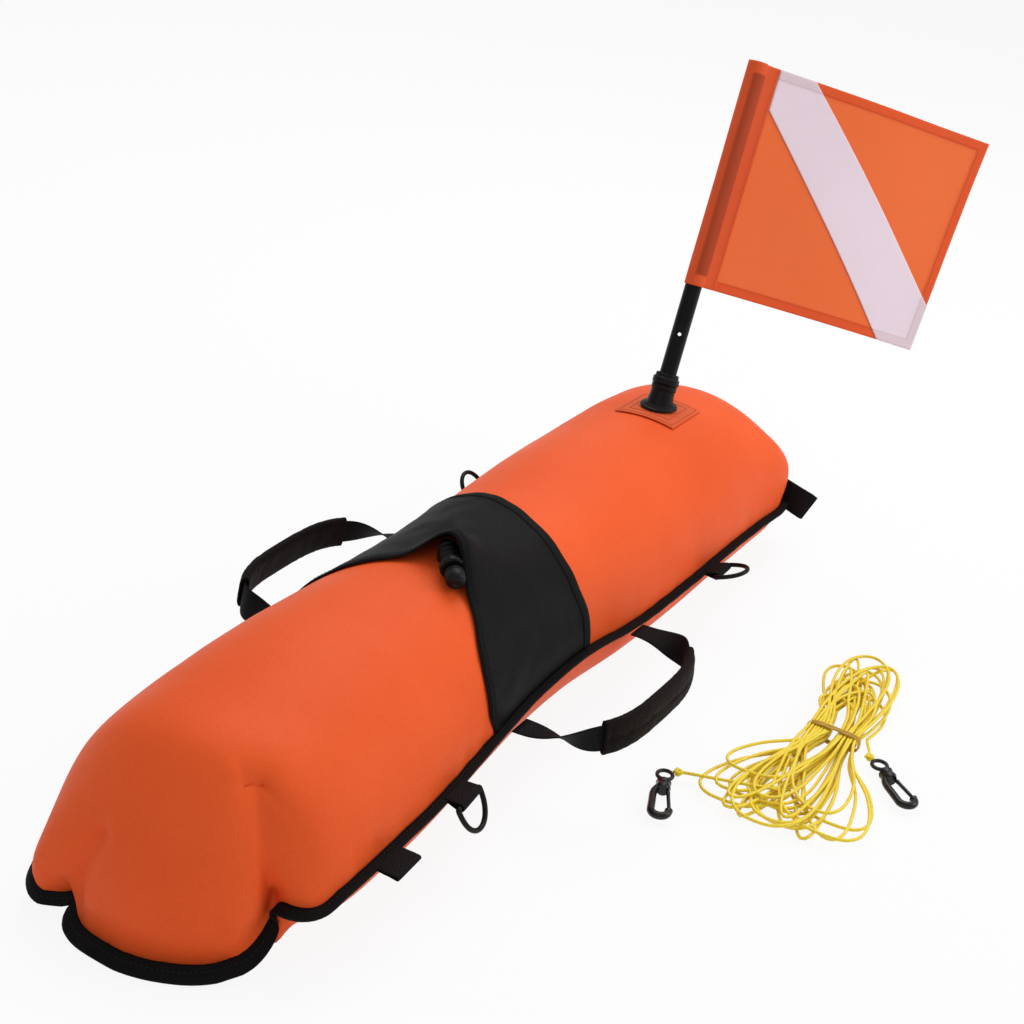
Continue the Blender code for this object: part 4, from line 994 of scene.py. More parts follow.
def notch_rim(shape, place, axis, rim, grips, depth, power):
    """Presses grip notches into a turned part all round, where it is wider than its rim."""
    first = axis.orthogonal().normalized()
    second = axis.cross(first)
    for vertex in shape.verts:
        spoke = vertex.co - place - axis * (vertex.co - place).dot(axis)
        if spoke.length > rim:
            angle = math.atan2(spoke.dot(second), spoke.dot(first))
            vertex.co -= spoke.normalized() * depth * (0.5 - 0.5 * math.cos(grips * angle)) ** power


valve_place = Vector(joint_at["valve_press"]["pos_m"])
valve_axis = Vector(joint_at["valve_press"]["axis"]).normalized()
bore = STEM_RADIUS + FIT_GAP
rib = HOSE_LENGTH / HOSE_RIBS
hose_outline = [(bore, HOSE_FLOOR), (bore, HOSE_LENGTH), (HOSE_RADIUS - RIB_DEPTH, HOSE_LENGTH)]
for index in range(HOSE_RIBS, 0, -1):
    hose_outline += [(HOSE_RADIUS - RIB_DEPTH, (index - 0.10) * rib), (HOSE_RADIUS, (index - 0.28) * rib)]
    hose_outline += [(HOSE_RADIUS, (index - 0.62) * rib), (HOSE_RADIUS - RIB_DEPTH, (index - 0.84) * rib)]
hose_outline += [(HOSE_RADIUS - RIB_DEPTH, 0.0), (HOSE_RADIUS * 0.7, -0.0035), (0.0, -0.0045)]
hose_shape = spun(bmesh.new(), [(0.0, HOSE_FLOOR)] + softened(hose_outline, 0.0009), valve_place, valve_axis)
stub_outline = [(0.0, 0.0), (STUB_RADIUS, 0.0), (STUB_RADIUS, -STUB_DEPTH), (0.0, -STUB_DEPTH)]
spun(hose_shape, softened(stub_outline, 0.003), valve_place, UP, 48)
add_piece("valve_ribbed_hose", hose_shape, black_rubber, "float", ["valve_hose"], SHARP_EDGE)

ring_low = HOSE_LENGTH + FIT_GAP
ring_high = ring_low + LOCK_RING_LENGTH
ring_outline = [
    (bore, ring_low), (LOCK_RING_RADIUS - 0.0012, ring_low), (LOCK_RING_RADIUS, ring_low + 0.0012),
    (LOCK_RING_RADIUS, ring_high - 0.0014), (LOCK_RING_RADIUS - 0.0014, ring_high), (bore, ring_high),
    (bore, ring_low + 0.0001),
]
ring_shape = spun(
    bmesh.new(), softened(ring_outline, 0.0006), valve_place, valve_axis, 4 * LOCK_RING_GRIPS, closed=True
)
notch_rim(ring_shape, valve_place, valve_axis, LOCK_RING_RADIUS - 0.0004, LOCK_RING_GRIPS, 0.0005, 2)
add_piece(
    "valve_turning_ring", ring_shape, black_plastic, "valve_ring", ["valve_lock_ring"],
    SHARP_EDGE,
)

mouth_low = ring_high + MOUTH_TRAVEL + FIT_GAP
mouth_high = mouth_low + MOUTH_LENGTH
stem_low = HOSE_FLOOR + MOUTH_TRAVEL + FIT_GAP
mouth_outline = [(0.0, mouth_high - 0.0012), (0.0022, mouth_high - 0.0012), (0.0030, mouth_high)]
for step in range(1, DOME_STEPS + 1):
    dome = math.pi / 2.0 * step / DOME_STEPS
    height = mouth_high - 0.0075 * (1.0 - math.cos(dome))
    mouth_outline.append((MOUTH_RADIUS * math.sin(0.35 + dome * 0.78), height))
mouth_outline += [
    (MOUTH_RADIUS, mouth_low + 0.0040), (MOUTH_RADIUS - 0.0010, mouth_low + 0.0034),
    (MOUTH_RADIUS - 0.0010, mouth_low + 0.0024), (MOUTH_RADIUS, mouth_low + 0.0018),
    (MOUTH_RADIUS - 0.0004, mouth_low), (STEM_RADIUS, mouth_low), (STEM_RADIUS, stem_low), (0.0, stem_low),
]
add_piece(
    "valve_mouth", spun(bmesh.new(), softened(mouth_outline, 0.0006), valve_place, valve_axis),
    black_rubber, "valve_tip", ["valve_mouthpiece"], SHARP_EDGE,
)


# A square patch of darker orange cloth backs the flag socket on top of the nose.
# It is sewn to the cover round its edge and again in a square inside it.

PATCH_MIDDLE = 0.304
PATCH_SIDE = 0.068
PATCH_THICKNESS = 0.0008
PATCH_GAP = 0.0008
PATCH_ROWS = 48
# Each row of stitches: its name and how far in from the patch's edge it runs, as a share of the side
PATCH_SEAMS = (("patch_edge_stitches", 0.05), ("patch_inner_stitches", 0.17))
PATCH_STITCHES = 88


def patch_spot(along, across, lift=0.0):
    x = PATCH_MIDDLE + PATCH_SIDE * (along - 0.5)
    turn = math.acos(min(max(-PATCH_SIDE * (across - 0.5) / body_row(x)[0], -1.0), 1.0))
    edge = min(along, 1.0 - along, across, 1.0 - across)
    tuck = 0.0005 * (1.0 - min(edge / 0.05, 1.0))
    return skin(x, turn, PATCH_GAP + lift - tuck), skin_normal(x, turn)


patch_cloth = cloth_material(
    "dark orange patch", tone(232, 100, 54), tone(206, 82, 42), 0.0008, 0.6, 0.02, tone(255, 180, 150), 0.45,
    0.12,
)
orange_thread = thread_material("orange thread", tone(196, 80, 42))
patch = add_piece(
    "socket_backing_patch",
    shaped_grid(
        PATCH_ROWS, PATCH_ROWS, lambda along, across: patch_spot(along, across)[0], PATCH_SIDE, PATCH_SIDE
    ),
    patch_cloth, "float", ["socket_patch"],
)
give_wall(patch, PATCH_THICKNESS, 1.0)
for name, inset in PATCH_SEAMS:
    def square(share, inset=inset):
        side = int(share * 4.0) % 4
        part = inset + (1.0 - 2.0 * inset) * (share * 4.0 - int(share * 4.0))
        sides = ((part, inset), (1.0 - inset, part), (1.0 - part, 1.0 - inset), (inset, 1.0 - part))
        return patch_spot(*sides[side], PATCH_THICKNESS)

    stitch_row(name, square, PATCH_STITCHES, 0.0024, 0.0006, orange_thread, "float")


# The flag's socket is one black moulding: a flange on the patch and a tube that leans with the pole.
# A clamp collar turns on top of the tube, and the pole slides up out of both.

SOCKET_FLOOR = 0.0035
SOCKET_RADIUS = 0.0137
SOCKET_HEIGHT = 0.0240
FLANGE_RADIUS = 0.0200
FLANGE_THICKNESS = 0.0030
COLLAR_RADIUS = 0.0142
COLLAR_HEIGHT = 0.0120
COLLAR_GRIPS = 26
POLE_RADIUS = 0.009
MOULDED_EDGE = 38.0

pole_place = Vector(joint_at["pole_lift"]["pos_m"])
pole_axis = Vector(joint_at["pole_lift"]["axis"]).normalized()
flange_up = skin_normal(PATCH_MIDDLE, math.pi / 2.0)
pole_bore = POLE_RADIUS + FIT_GAP
flange_outline = [
    (pole_bore, 0.0004), (FLANGE_RADIUS - 0.0006, 0.0004), (FLANGE_RADIUS, 0.0014),
    (FLANGE_RADIUS - 0.0012, FLANGE_THICKNESS), (SOCKET_RADIUS + 0.0030, FLANGE_THICKNESS + 0.0002),
    (SOCKET_RADIUS + 0.0008, FLANGE_THICKNESS + 0.0024), (pole_bore, FLANGE_THICKNESS + 0.0024),
]
socket_shape = spun(bmesh.new(), softened(flange_outline, 0.0007), pole_place, flange_up, 72, closed=True)
tube_outline = [
    (pole_bore, SOCKET_FLOOR), (pole_bore, SOCKET_HEIGHT), (SOCKET_RADIUS - 0.0002, SOCKET_HEIGHT),
    (SOCKET_RADIUS - 0.0002, SOCKET_HEIGHT - 0.0050), (SOCKET_RADIUS - 0.0012, SOCKET_HEIGHT - 0.0060),
    (SOCKET_RADIUS, 0.0060), (SOCKET_RADIUS + 0.0010, -0.0020), (0.0, -0.0020),
]
spun(socket_shape, [(0.0, SOCKET_FLOOR)] + softened(tube_outline, 0.0008), pole_place, pole_axis, 72)
add_piece(
    "socket_flange_and_tube", socket_shape, black_plastic, "float", ["socket_base"],
    MOULDED_EDGE,
)

collar_low = SOCKET_HEIGHT + FIT_GAP
collar_high = collar_low + COLLAR_HEIGHT
collar_outline = [
    (pole_bore, collar_low), (COLLAR_RADIUS - 0.0010, collar_low), (COLLAR_RADIUS, collar_low + 0.0010),
    (COLLAR_RADIUS, collar_high - 0.0052), (COLLAR_RADIUS - 0.0016, collar_high - 0.0044),
    (COLLAR_RADIUS - 0.0020, collar_high - 0.0008), (COLLAR_RADIUS - 0.0028, collar_high),
    (pole_bore, collar_high), (pole_bore, collar_low + 0.0001),
]
collar_shape = spun(
    bmesh.new(), softened(collar_outline, 0.0006), pole_place, pole_axis, 6 * COLLAR_GRIPS, closed=True
)
notch_rim(collar_shape, pole_place, pole_axis, COLLAR_RADIUS - 0.0005, COLLAR_GRIPS, 0.00022, 3)
add_piece(
    "socket_clamp_collar", collar_shape, black_plastic, "collar", ["socket_collar"],
    MOULDED_EDGE,
)

pole_plastic = moulded_material(
    "extruded pole", tone(17, 15, 16), tone(29, 27, 28), 0.38, 500.0, 0.15, 0.02, 0.11
)
for name in ("pole", "pole_cap"):
    pole_mesh = frame["nodes"][name].data
    pole_mesh.materials.clear()
    pole_mesh.materials.append(pole_plastic)
    pole_mesh.shade_smooth()
    pole_mesh.set_sharp_from_angle(angle=math.radians(SHARP_EDGE))


# The flag is orange nylon hemmed all round, sewn to a sleeve that turns on the pole.
# A white diagonal stripe is sewn to each face; the cloth hangs nearly flat with slow ripples.

FLAG_HOIST = 0.235
FLAG_FLY = 0.284
FLAG_YAW = math.radians(-45.0)
POLE_LEAN = math.radians(20.0)
SLEEVE_WIDTH = 0.034
SLEEVE_LAP = 0.008
STRIPE_WIDTH = 0.068
STRIPE_AT_TOP = 0.040
STRIPE_AT_SLEEVE = 0.042
STRIPE_AT_FOOT = 0.046
STRIPE_AT_FLY = 0.0505
CLOTH = 0.0006
LAYER = CLOTH + FIT_GAP
WRAP = POLE_RADIUS + FIT_GAP + CLOTH / 2.0
HEM_WIDTH = 0.011
HEM_SHARE = 0.42
HEM_SEAM = HEM_WIDTH * 0.86
FLAG_ROWS = 120
FLAG_SKEW = 0.0175
FLAG_SAG = 0.004
RIPPLE_HEIGHT = 0.0034
SLEEVE_STEPS = 40
SHADOW_MIDDLE = 0.0020
SHADOW_HALF_WIDTH = 0.0078
SHADOW_FADE = 0.0018

flag_frame = (
    Matrix.Translation(Vector(joint_at["flag_turn"]["pos_m"]))
    @ Matrix.Rotation(POLE_LEAN, 4, "Y")
    @ Matrix.Rotation(FLAG_YAW, 4, "Z")
)
field_start = SLEEVE_WIDTH - WRAP - SLEEVE_LAP
seam_end = SLEEVE_WIDTH - WRAP
field_end = FLAG_FLY - WRAP


def flag_spot(along, up, off=0.0):
    """A point of the flag's cloth, from metres along the fly and up the hoist, and off its face."""
    share, rise = bounded(along / FLAG_FLY), up / FLAG_HOIST
    ripple = math.sin(along * 26.0 + rise * 1.6 + 0.4) + 0.5 * noise_at(along * 13.0, up * 13.0, 4.0)
    skew = FLAG_SKEW * (rise - 0.15) * share
    sag = -FLAG_SAG * share * share
    return flag_frame @ Vector((along + skew, off + RIPPLE_HEIGHT * share * ripple, up + sag))


def flag_face(along, up):
    """The way out of the cloth's front face there."""
    step = 0.002
    across = flag_spot(along + step, up) - flag_spot(along - step, up)
    rise = flag_spot(along, up + step) - flag_spot(along, up - step)
    return across.cross(rise).normalized()


def store_painted_shade(made, hem_and_painted_shade):
    """Stores a share of painted shade at each point for the cloth's colour: on the flag how far it is in the
    doubled hem, on the sleeve the pole's band.
    """
    made.data.attributes.new("hem_and_painted_shade", "FLOAT", "POINT").data.foreach_set("value", hem_and_painted_shade)


def cloth_with_painted_shade(name, colour, shade, painted_shade_colour, sheen_colour):
    """Flag nylon, with painted shade where its edge is folded over double and on the sleeve where the pole
    lies behind.
    """
    made = cloth_material(name, colour, shade, 0.0007, 0.62, 0.03, sheen_colour, 0.35, 0.06)
    tree = made.node_tree
    base = tree.nodes["Principled BSDF"].inputs["Base Color"]
    # The stored share blends the colour towards the painted shade colour.
    painted_shade_attribute = tree.nodes.new("ShaderNodeAttribute")
    painted_shade_attribute.attribute_name = "hem_and_painted_shade"
    tree.links.new(blend_colour(tree, painted_shade_attribute.outputs["Fac"], base.links[0].from_socket, painted_shade_colour), base)
    return made


# The flag's orange is partly its own lighter tone and partly painted light, standing in for light that shines
# through the thin nylon from behind.
flag_nylon = cloth_with_painted_shade(
    "flag nylon", tone(255, 122, 66), tone(250, 112, 56), tone(240, 94, 46), tone(255, 190, 150)
)
stripe_nylon = cloth_with_painted_shade(
    "white stripe nylon", tone(252, 234, 246), tone(240, 220, 232), tone(236, 214, 224), tone(255, 240, 250)
)
# The sleeve's colours are a darker copy of the flag's, painted shade for the cloth doubled round the pole;
# its third colour is the painted pole shadow.
sleeve_cloth = cloth_with_painted_shade(
    "flag sleeve", tone(236, 96, 50), tone(222, 86, 42), tone(178, 70, 38), tone(255, 170, 130)
)


def hem_share(along, up):
    """1 inside the hem along the top, bottom and fly, 0 inside the field."""
    edge = min(up, FLAG_HOIST - up, field_end - along)
    return bounded((HEM_WIDTH - edge) / 0.0012)


def flag_sheet(name, corner_at, rows, columns, off, material, stands_for, length, girth):
    """One layer of the flag, thicker in its hems: corner_at(share, share) gives metres along and up."""
    spots = {}

    def place(along, across):
        spot = corner_at(along, across)
        point = flag_spot(spot[0], spot[1], off)
        spots[tuple(round(part, 7) for part in point)] = spot
        return point

    shape = shaped_grid(rows, columns, place, length, girth)
    hem_and_painted_shade = [hem_share(*spots[tuple(round(part, 7) for part in vertex.co)]) for vertex in shape.verts]
    made = add_piece(name, shape, material, "flag", stands_for)
    group = made.vertex_groups.new(name="wall")
    for index, value in enumerate(hem_and_painted_shade):
        group.add([index], HEM_SHARE + (1.0 - HEM_SHARE) * value, "REPLACE")
    # The hem share is also stored as painted shade, so the doubled hems are drawn darker.
    store_painted_shade(made, hem_and_painted_shade)
    give_wall(made, CLOTH / HEM_SHARE, 0.0).vertex_group = "wall"
    return made


flag_field = flag_sheet(
    "flag_orange_field",
    lambda along, across: (field_start + (field_end - field_start) * along, FLAG_HOIST * across),
    FLAG_ROWS, FLAG_ROWS, 0.0, flag_nylon, ["flag_field"], field_end - field_start, FLAG_HOIST,
)
stripe_start = seam_end + FIT_GAP
stripe_slant = math.hypot(field_end - stripe_start, FLAG_HOIST)
# The stripe's two ends, each round the corner of the flag that it covers
STRIPE_HEAD = (
    Vector((stripe_start, FLAG_HOIST - STRIPE_AT_SLEEVE)),
    Vector((stripe_start, FLAG_HOIST)),
    Vector((stripe_start + STRIPE_AT_TOP, FLAG_HOIST)),
)
STRIPE_FOOT = (
    Vector((field_end - STRIPE_AT_FOOT, 0.0)),
    Vector((field_end, 0.0)),
    Vector((field_end, STRIPE_AT_FLY)),
)


def stripe_corner(along, across):
    """Across the stripe from its lower edge to its upper one, along it from the sleeve to the fly's foot."""
    head, foot = (end[0].lerp(end[2], across) for end in (STRIPE_HEAD, STRIPE_FOOT))
    half = min(int(across * 2.0), 1)
    first, last = (end[half].lerp(end[half + 1], across * 2.0 - half) for end in (STRIPE_HEAD, STRIPE_FOOT))
    return tuple(head.lerp(foot, along) + (first - head) * (1.0 - along) ** 1.5 + (last - foot) * along**1.5)


stripes = [
    flag_sheet(
        f"flag_white_stripe_{face}", stripe_corner, 110, 40, way * LAYER * 1.3, stripe_nylon,
        [f"flag_stripe_{face}"], stripe_slant, STRIPE_WIDTH,
    )
    for face, way in (("front", -1.0), ("back", 1.0))
]

# The sleeve's section: its lap on the field's front, its way round the pole, and the same lap behind
spread = math.asin(min(1.25 * LAYER / WRAP, 1.0))
front_lap = (
    (seam_end, 1.25), (seam_end - 0.5 * SLEEVE_LAP, 1.25), (field_start - 0.001, 1.35), (WRAP * 1.25, 2.4)
)
sleeve_path = [(along, off * LAYER) for along, off in front_lap]
for step in range(SLEEVE_STEPS + 1):
    turn = spread * 2.0 + (2.0 * math.pi - 4.0 * spread) * step / SLEEVE_STEPS
    sleeve_path.append((WRAP * math.cos(turn), WRAP * math.sin(turn)))
sleeve_path += [(along, -off) for along, off in reversed(sleeve_path[:4])]


def sleeve_spot(along, across):
    index = round(along * (len(sleeve_path) - 1))
    x, off = sleeve_path[index]
    up = FLAG_HOIST * across
    if x >= WRAP:
        return flag_spot(x, up, off)
    fold = 0.0005 * noise_at(x * 60.0, off * 60.0, up * 16.0)
    puff = 1.0 + 0.05 * (1.0 + noise_at(index * 0.15, up * 12.0, 2.0))
    return flag_frame @ Vector((x * puff, off * puff + fold, up))


sleeve_shape = shaped_grid(len(sleeve_path) - 1, 110, sleeve_spot, 0.09, FLAG_HOIST)
sleeve = add_piece("flag_pole_sleeve", sleeve_shape, sleeve_cloth, "flag", ["flag_sleeve"])
give_wall(sleeve, CLOTH, 0.0)

for_flag = flag_frame.inverted()


def pole_shadow(point):
    """Painted shade: 1 where the pole lies behind the sleeve and darkens it, 0 beside it and in the hems at
    its ends.
    """
    spot = for_flag @ point
    beside = (SHADOW_HALF_WIDTH - abs(spot.x - SHADOW_MIDDLE)) / SHADOW_FADE + 0.5
    inside = (min(spot.z, FLAG_HOIST - spot.z) - HEM_WIDTH) / SHADOW_FADE
    return bounded(beside) * bounded(inside)


# The sleeve's painted pole shadow is stored as its share of painted shade.
store_painted_shade(sleeve, [pole_shadow(vertex.co) for vertex in sleeve.data.vertices])

# Each seam on a face of the flag: its name, two ends, number of stitches and height in layers
top, side_seam = FLAG_HOIST - HEM_SEAM, field_end - HEM_SEAM
flag_seams = (
    ("top", (seam_end, top), (side_seam, top), 92, 1.75),
    ("foot", (seam_end, HEM_SEAM), (side_seam, HEM_SEAM), 92, 1.75),
    ("fly", (side_seam, HEM_SEAM), (side_seam, top), 80, 1.75),
    ("sleeve", (seam_end - 0.0022, 0.001), (seam_end - 0.0022, FLAG_HOIST - 0.001), 88, 2.1),
)
flag_thread = thread_material("flag thread", tone(176, 66, 34))
for side, face in (("front", -1.0), ("back", 1.0)):
    for name, first, last, count, lift in flag_seams:
        def flag_stitch(share, first=first, last=last, face=face, lift=lift):
            along, up = Vector(first).lerp(Vector(last), share)
            return flag_spot(along, up, face * (LAYER * lift)), flag_face(along, up) * -face

        name = f"flag_{name}_stitches_{side}"
        stitch_row(name, flag_stitch, count, 0.0021, 0.0005, flag_thread, "flag")


# Black webbing tabs are sewn into the seam and folded double: four hold D-rings, two are plain.
# A longer strap folded the same way makes the tow loop by the nose.

WEBBING_WIDTH = 0.030
WEBBING_THICKNESS = 0.0015
TAB_REACH = 0.013
PLAIN_TAB_REACH = 0.017
RING_ROD = 0.0045
RING_DEPTH = 0.027
TAB_PLACES = {"nose_right": 0.203, "nose_left": 0.178, "tail_right": -0.278, "tail_left": -0.276}
TAB_RISES = {"nose_right": 8.0, "nose_left": 15.0, "tail_right": -8.0, "tail_left": 42.0}
RING_TURNS = {"nose_right": 20.0, "nose_left": 52.0, "tail_right": -62.0, "tail_left": -40.0}
PLAIN_TAB_PLACE = -0.375
TAPE_GAP = 0.0003
FOLD_STEPS = 12
TAB_POINTS = 46
RING_STEPS = 48
RING_POINTS = 110
TOW_LOOP_PLACE = 0.436
TOW_LOOP_REACH = 0.054
TOW_LOOP_GAP = 0.007
TOW_WAY = Vector((-0.22, -1.0, -0.16)).normalized()
TOW_RISE = 0.013
TOW_ROOT_TWIST = math.radians(108.0)
TOW_END_TWIST = math.radians(134.0)
TOW_STEPS = 30

ribbed_webbing = cloth_material(
    "ribbed black webbing", tone(20, 18, 19), tone(8, 8, 9), 0.0016, 0.68, 0.02, tone(110, 110, 120), 0.9,
    gloss=0.1,
)


def seam_line(x, side):
    return smooth_point(x, 0.0 if side < 0.0 else math.pi)


def edge_frame(x, side):
    """Unit vectors along the seam and out from it."""
    step = 0.00121
    run = (seam_line(x + step, side) - seam_line(x - step, side)).normalized()
    return run, Vector((-side * run.y, side * run.x, 0.0)).normalized()


def folded_tab(name, x, side, reach, bar, rise, stands_for, pinch=0.0):
    """Webbing from under the seam's tape, round a bar and back; returns the bar's middle and directions."""
    run, out = edge_frame(x, side)
    tilt = WEBBING_THICKNESS * 1.2 * abs(math.sin(rise))
    root = seam_line(x, side) + out * (3.0 * TAPE_GAP + BINDING_WIDTH + tilt)
    away, over = leaning(out, rise)
    bend = bar / 2.0 + TAPE_GAP + WEBBING_THICKNESS / 2.0
    far = reach - bend - WEBBING_THICKNESS / 2.0
    sewn = (WEBBING_THICKNESS + TAPE_GAP) / 2.0
    flat = [(-0.0052, sewn), (-0.0030, sewn), (0.0, sewn + pinch)]
    fold = [
        (far + bend * math.cos(turn), bend * math.sin(turn))
        for turn in (math.pi * (0.5 - step / FOLD_STEPS) for step in range(FOLD_STEPS + 1))
    ]
    section = flat + fold + [(along, -up) for along, up in reversed(flat)]
    path, _ = evenly_spaced([root + away * along + over * up for along, up in section], TAB_POINTS)
    shape = strap_shape(path, [run] * len(path), WEBBING_WIDTH, WEBBING_THICKNESS)
    for vertex in shape.verts:
        vertex.co += over * 0.0004 * noise.noise(vertex.co * 90.0)
    add_piece(name, shape, ribbed_webbing, "float", stands_for)
    return root + away * far, run, out


def round_shape(path, radius, closed=False, columns=12, up=UP):
    """A rod swept along a path; radius is a number or one for each point."""
    radii = radius if isinstance(radius, list) else [radius] * len(path)

    def ring(spot, index, run, across):
        run.normalize()
        side = run.cross(up).normalized()
        turn = 2.0 * math.pi * across
        return spot + (side * math.cos(turn) + run.cross(side) * math.sin(turn)) * radii[index]

    return swept(path, closed, columns, ring, 2.0 * math.pi * max(radii))


def d_ring(name, centre, run, out, degrees, body, node):
    """A moulded D: its straight bar lies in the tab's fold, and its bow is a flattened arc."""
    bar = WEBBING_WIDTH / 2.0 + 2.0 * TAPE_GAP + RING_ROD / 2.0
    up = run.cross(out)
    turned = Matrix.Rotation(math.radians(degrees) * (1.0 if up.z > 0.0 else -1.0), 4, "X")
    frame_at = Matrix.Translation(centre) @ axes(run, out, up) @ turned
    path = []
    for step in range(RING_STEPS + 1):
        turn = math.pi * step / RING_STEPS
        path.append(frame_at @ Vector((bar * math.cos(turn), RING_DEPTH * math.sin(turn) ** 0.8, 0.0)))
    path, _ = evenly_spaced(path, RING_POINTS, closed=True)
    shape = round_shape(smoothed(path, 3), RING_ROD / 2.0, True, 14, frame_at.to_3x3() @ UP)
    add_piece(name, shape, black_plastic, body, [node])


for name, x in TAB_PLACES.items():
    side = -1.0 if name.endswith("right") else 1.0
    rise = math.radians(TAB_RISES[name])
    centre, run, out = folded_tab(
        f"tab_{name}", x, side, TAB_REACH, RING_ROD, rise, [f"ring_tab_{name}"], 0.0006
    )
    d_ring(f"ring_{name}_bow", centre, run, out, RING_TURNS[name], f"ring_{name}", f"d_ring_{name}")
for side, name in ((-1.0, "right"), (1.0, "left")):
    folded_tab(
        f"flat_tab_{name}", PLAIN_TAB_PLACE, side, PLAIN_TAB_REACH, 2.0 * TAPE_GAP, 0.0, [f"plain_tab_{name}"]
    )

tow_root = seam_line(TOW_LOOP_PLACE, -1.0) + Vector((-0.002, 0.006, TOW_RISE))
tow_level = Vector((-TOW_WAY.y, TOW_WAY.x, 0.0)).normalized()
tow_upright = tow_level.cross(TOW_WAY)
tow_path, tow_sides = [], []
for step in range(-TOW_STEPS, TOW_STEPS + 1):
    from_end = abs(step / TOW_STEPS)
    share = eased(1.0 - from_end)
    twist = TOW_ROOT_TWIST + (TOW_END_TWIST - TOW_ROOT_TWIST) * share
    side = tow_level * math.cos(twist) + tow_upright * math.sin(twist)
    along = TOW_LOOP_REACH * (1.0 - from_end**1.3)
    gap = TOW_LOOP_GAP / 2.0 * (0.25 + 0.75 * share) * math.copysign(min(abs(step) / 5.0, 1.0), step)
    tow_path.append(tow_root + TOW_WAY * along + TOW_WAY.cross(side) * gap)
    tow_sides.append(side)
add_piece(
    "tow_strap", strap_shape(tow_path, tow_sides, WEBBING_WIDTH, WEBBING_THICKNESS), ribbed_webbing,
    "float", ["tow_loop"],
)


# Each handle is a strap sewn into the seam at both ends, with a padded sleeve round its middle.
# The strap leaves the seam flat and twists on edge into the sleeve.

HANDLE_TAIL_PLACE = -0.182
HANDLE_NOSE_PLACE = 0.056
HANDLE_REACH = 0.080
HANDLE_WIDTH = 0.025
HANDLE_GAP = 0.0004
HANDLE_RISES = {"right": 3.0, "left": 9.0}
HANDLE_LEANS = {"right": 0.0, "left": 0.014}
HANDLE_STEPS = 108
TWIST_SHARE = 5.0 / 18.0
GRIP_PADDING = 0.0026
GRIP_CLEARANCE = 0.0010
GRIP_COLUMNS = 40
GRIP_LENGTH = 0.15

grip_cloth = cloth_material(
    "padded grip cloth", tone(26, 20, 18), tone(13, 10, 9), 0.0012, 0.7, 0.03, tone(120, 105, 105), 0.8,
    0.3, 0.08,
)


def edge_spot(x, side):
    return seam_line(x, side) + edge_frame(x, side)[1] * (TAPE_GAP + BINDING_WIDTH + HANDLE_GAP)


for side, side_name in ((-1.0, "right"), (1.0, "left")):
    tail, nose = edge_spot(HANDLE_TAIL_PLACE, side), edge_spot(HANDLE_NOSE_PLACE, side)
    run = (nose - tail).normalized()
    out = Vector((-side * run.y, side * run.x, 0.0)).normalized()
    up = run.cross(out)
    rise = math.radians(HANDLE_RISES[side_name]) * (1.0 if up.z > 0.0 else -1.0)
    handle_frame = Matrix.Translation((tail + nose) / 2.0) @ axes(run, out, up)
    handle_frame = handle_frame @ Matrix.Rotation(rise, 4, "X")
    half = (nose - tail).length / 2.0 - HANDLE_WIDTH / 2.0
    path = []
    for step in range(HANDLE_STEPS + 1):
        turn = math.pi * step / HANDLE_STEPS
        along = -half * powered(math.cos(turn), 0.62)
        path.append(Vector((along, HANDLE_REACH * math.sin(turn) ** 0.72, 0.0)))
    path = smoothed(path, 4, closed=False)
    for spot in path:
        spot.x -= HANDLE_LEANS[side_name] * eased(spot.y / HANDLE_REACH)
    web_sides = []
    for index in range(HANDLE_STEPS + 1):
        way = (path[min(index + 1, HANDLE_STEPS)] - path[max(index - 1, 0)]).normalized()
        near_end = min(index, HANDLE_STEPS - index) / HANDLE_STEPS
        twist = eased(near_end / TWIST_SHARE) * math.pi / 2.0
        edge = Vector((way.y, -way.x, 0.0)) * math.cos(twist) + UP * math.sin(twist)
        web_sides.append((handle_frame.to_3x3() @ edge).normalized())
    web = strap_shape([handle_frame @ spot for spot in path], web_sides, HANDLE_WIDTH, WEBBING_THICKNESS)
    body = f"handle_{side_name}"
    add_piece(f"handle_strap_{side_name}", web, ribbed_webbing, body, [f"handle_web_{side_name}"])

    first = round(TWIST_SHARE * HANDLE_STEPS)
    grip_path = path[first : HANDLE_STEPS + 1 - first]
    grip_rows = len(grip_path) - 1
    half_high = HANDLE_WIDTH / 2.0 + GRIP_CLEARANCE + GRIP_PADDING
    half_thick = WEBBING_THICKNESS / 2.0 + GRIP_CLEARANCE + GRIP_PADDING

    def grip_spot(along, across, grip_path=grip_path, handle_frame=handle_frame, side=side):
        index = round(along * grip_rows)
        way = (grip_path[min(index + 1, grip_rows)] - grip_path[max(index - 1, 0)]).normalized()
        turn = -2.0 * math.pi * across
        near_end = min(along, 1.0 - along)
        bulge = 1.0 + 0.8 * noise_at(along * 14.0, across * 6.0, side)
        swell = 1.0 + 0.10 * min(near_end / 0.05, 1.0) * bulge
        pinch = 1.0 - 0.30 * math.exp(-((near_end - 0.055) / 0.012) ** 2)
        high = half_high * powered(math.sin(turn), 0.55)
        thick = half_thick * swell * pinch * powered(math.cos(turn), 0.7)
        thick += 0.0006 * noise_at(along * 42.0, across * 9.0, 3.0 + side)
        outward = Vector((-way.y, way.x, 0.0))
        return handle_frame @ (grip_path[index] + outward * thick + Vector((0.0, 0.0, high)))

    grip_shape = shaped_grid(grip_rows, GRIP_COLUMNS, grip_spot, GRIP_LENGTH, 4.0 * (half_high + half_thick))
    grip = add_piece(
        f"padded_grip_{side_name}", closed_up(grip_shape, fill=False), grip_cloth, body,
        [f"handle_grip_{side_name}"],
    )
    give_wall(grip, GRIP_PADDING * 0.8)


# The float line is one yellow cord wound into a loose figure-of-eight hank, tied at the waist.
# Each end comes out to a knot on a snap hook's swivel eye.

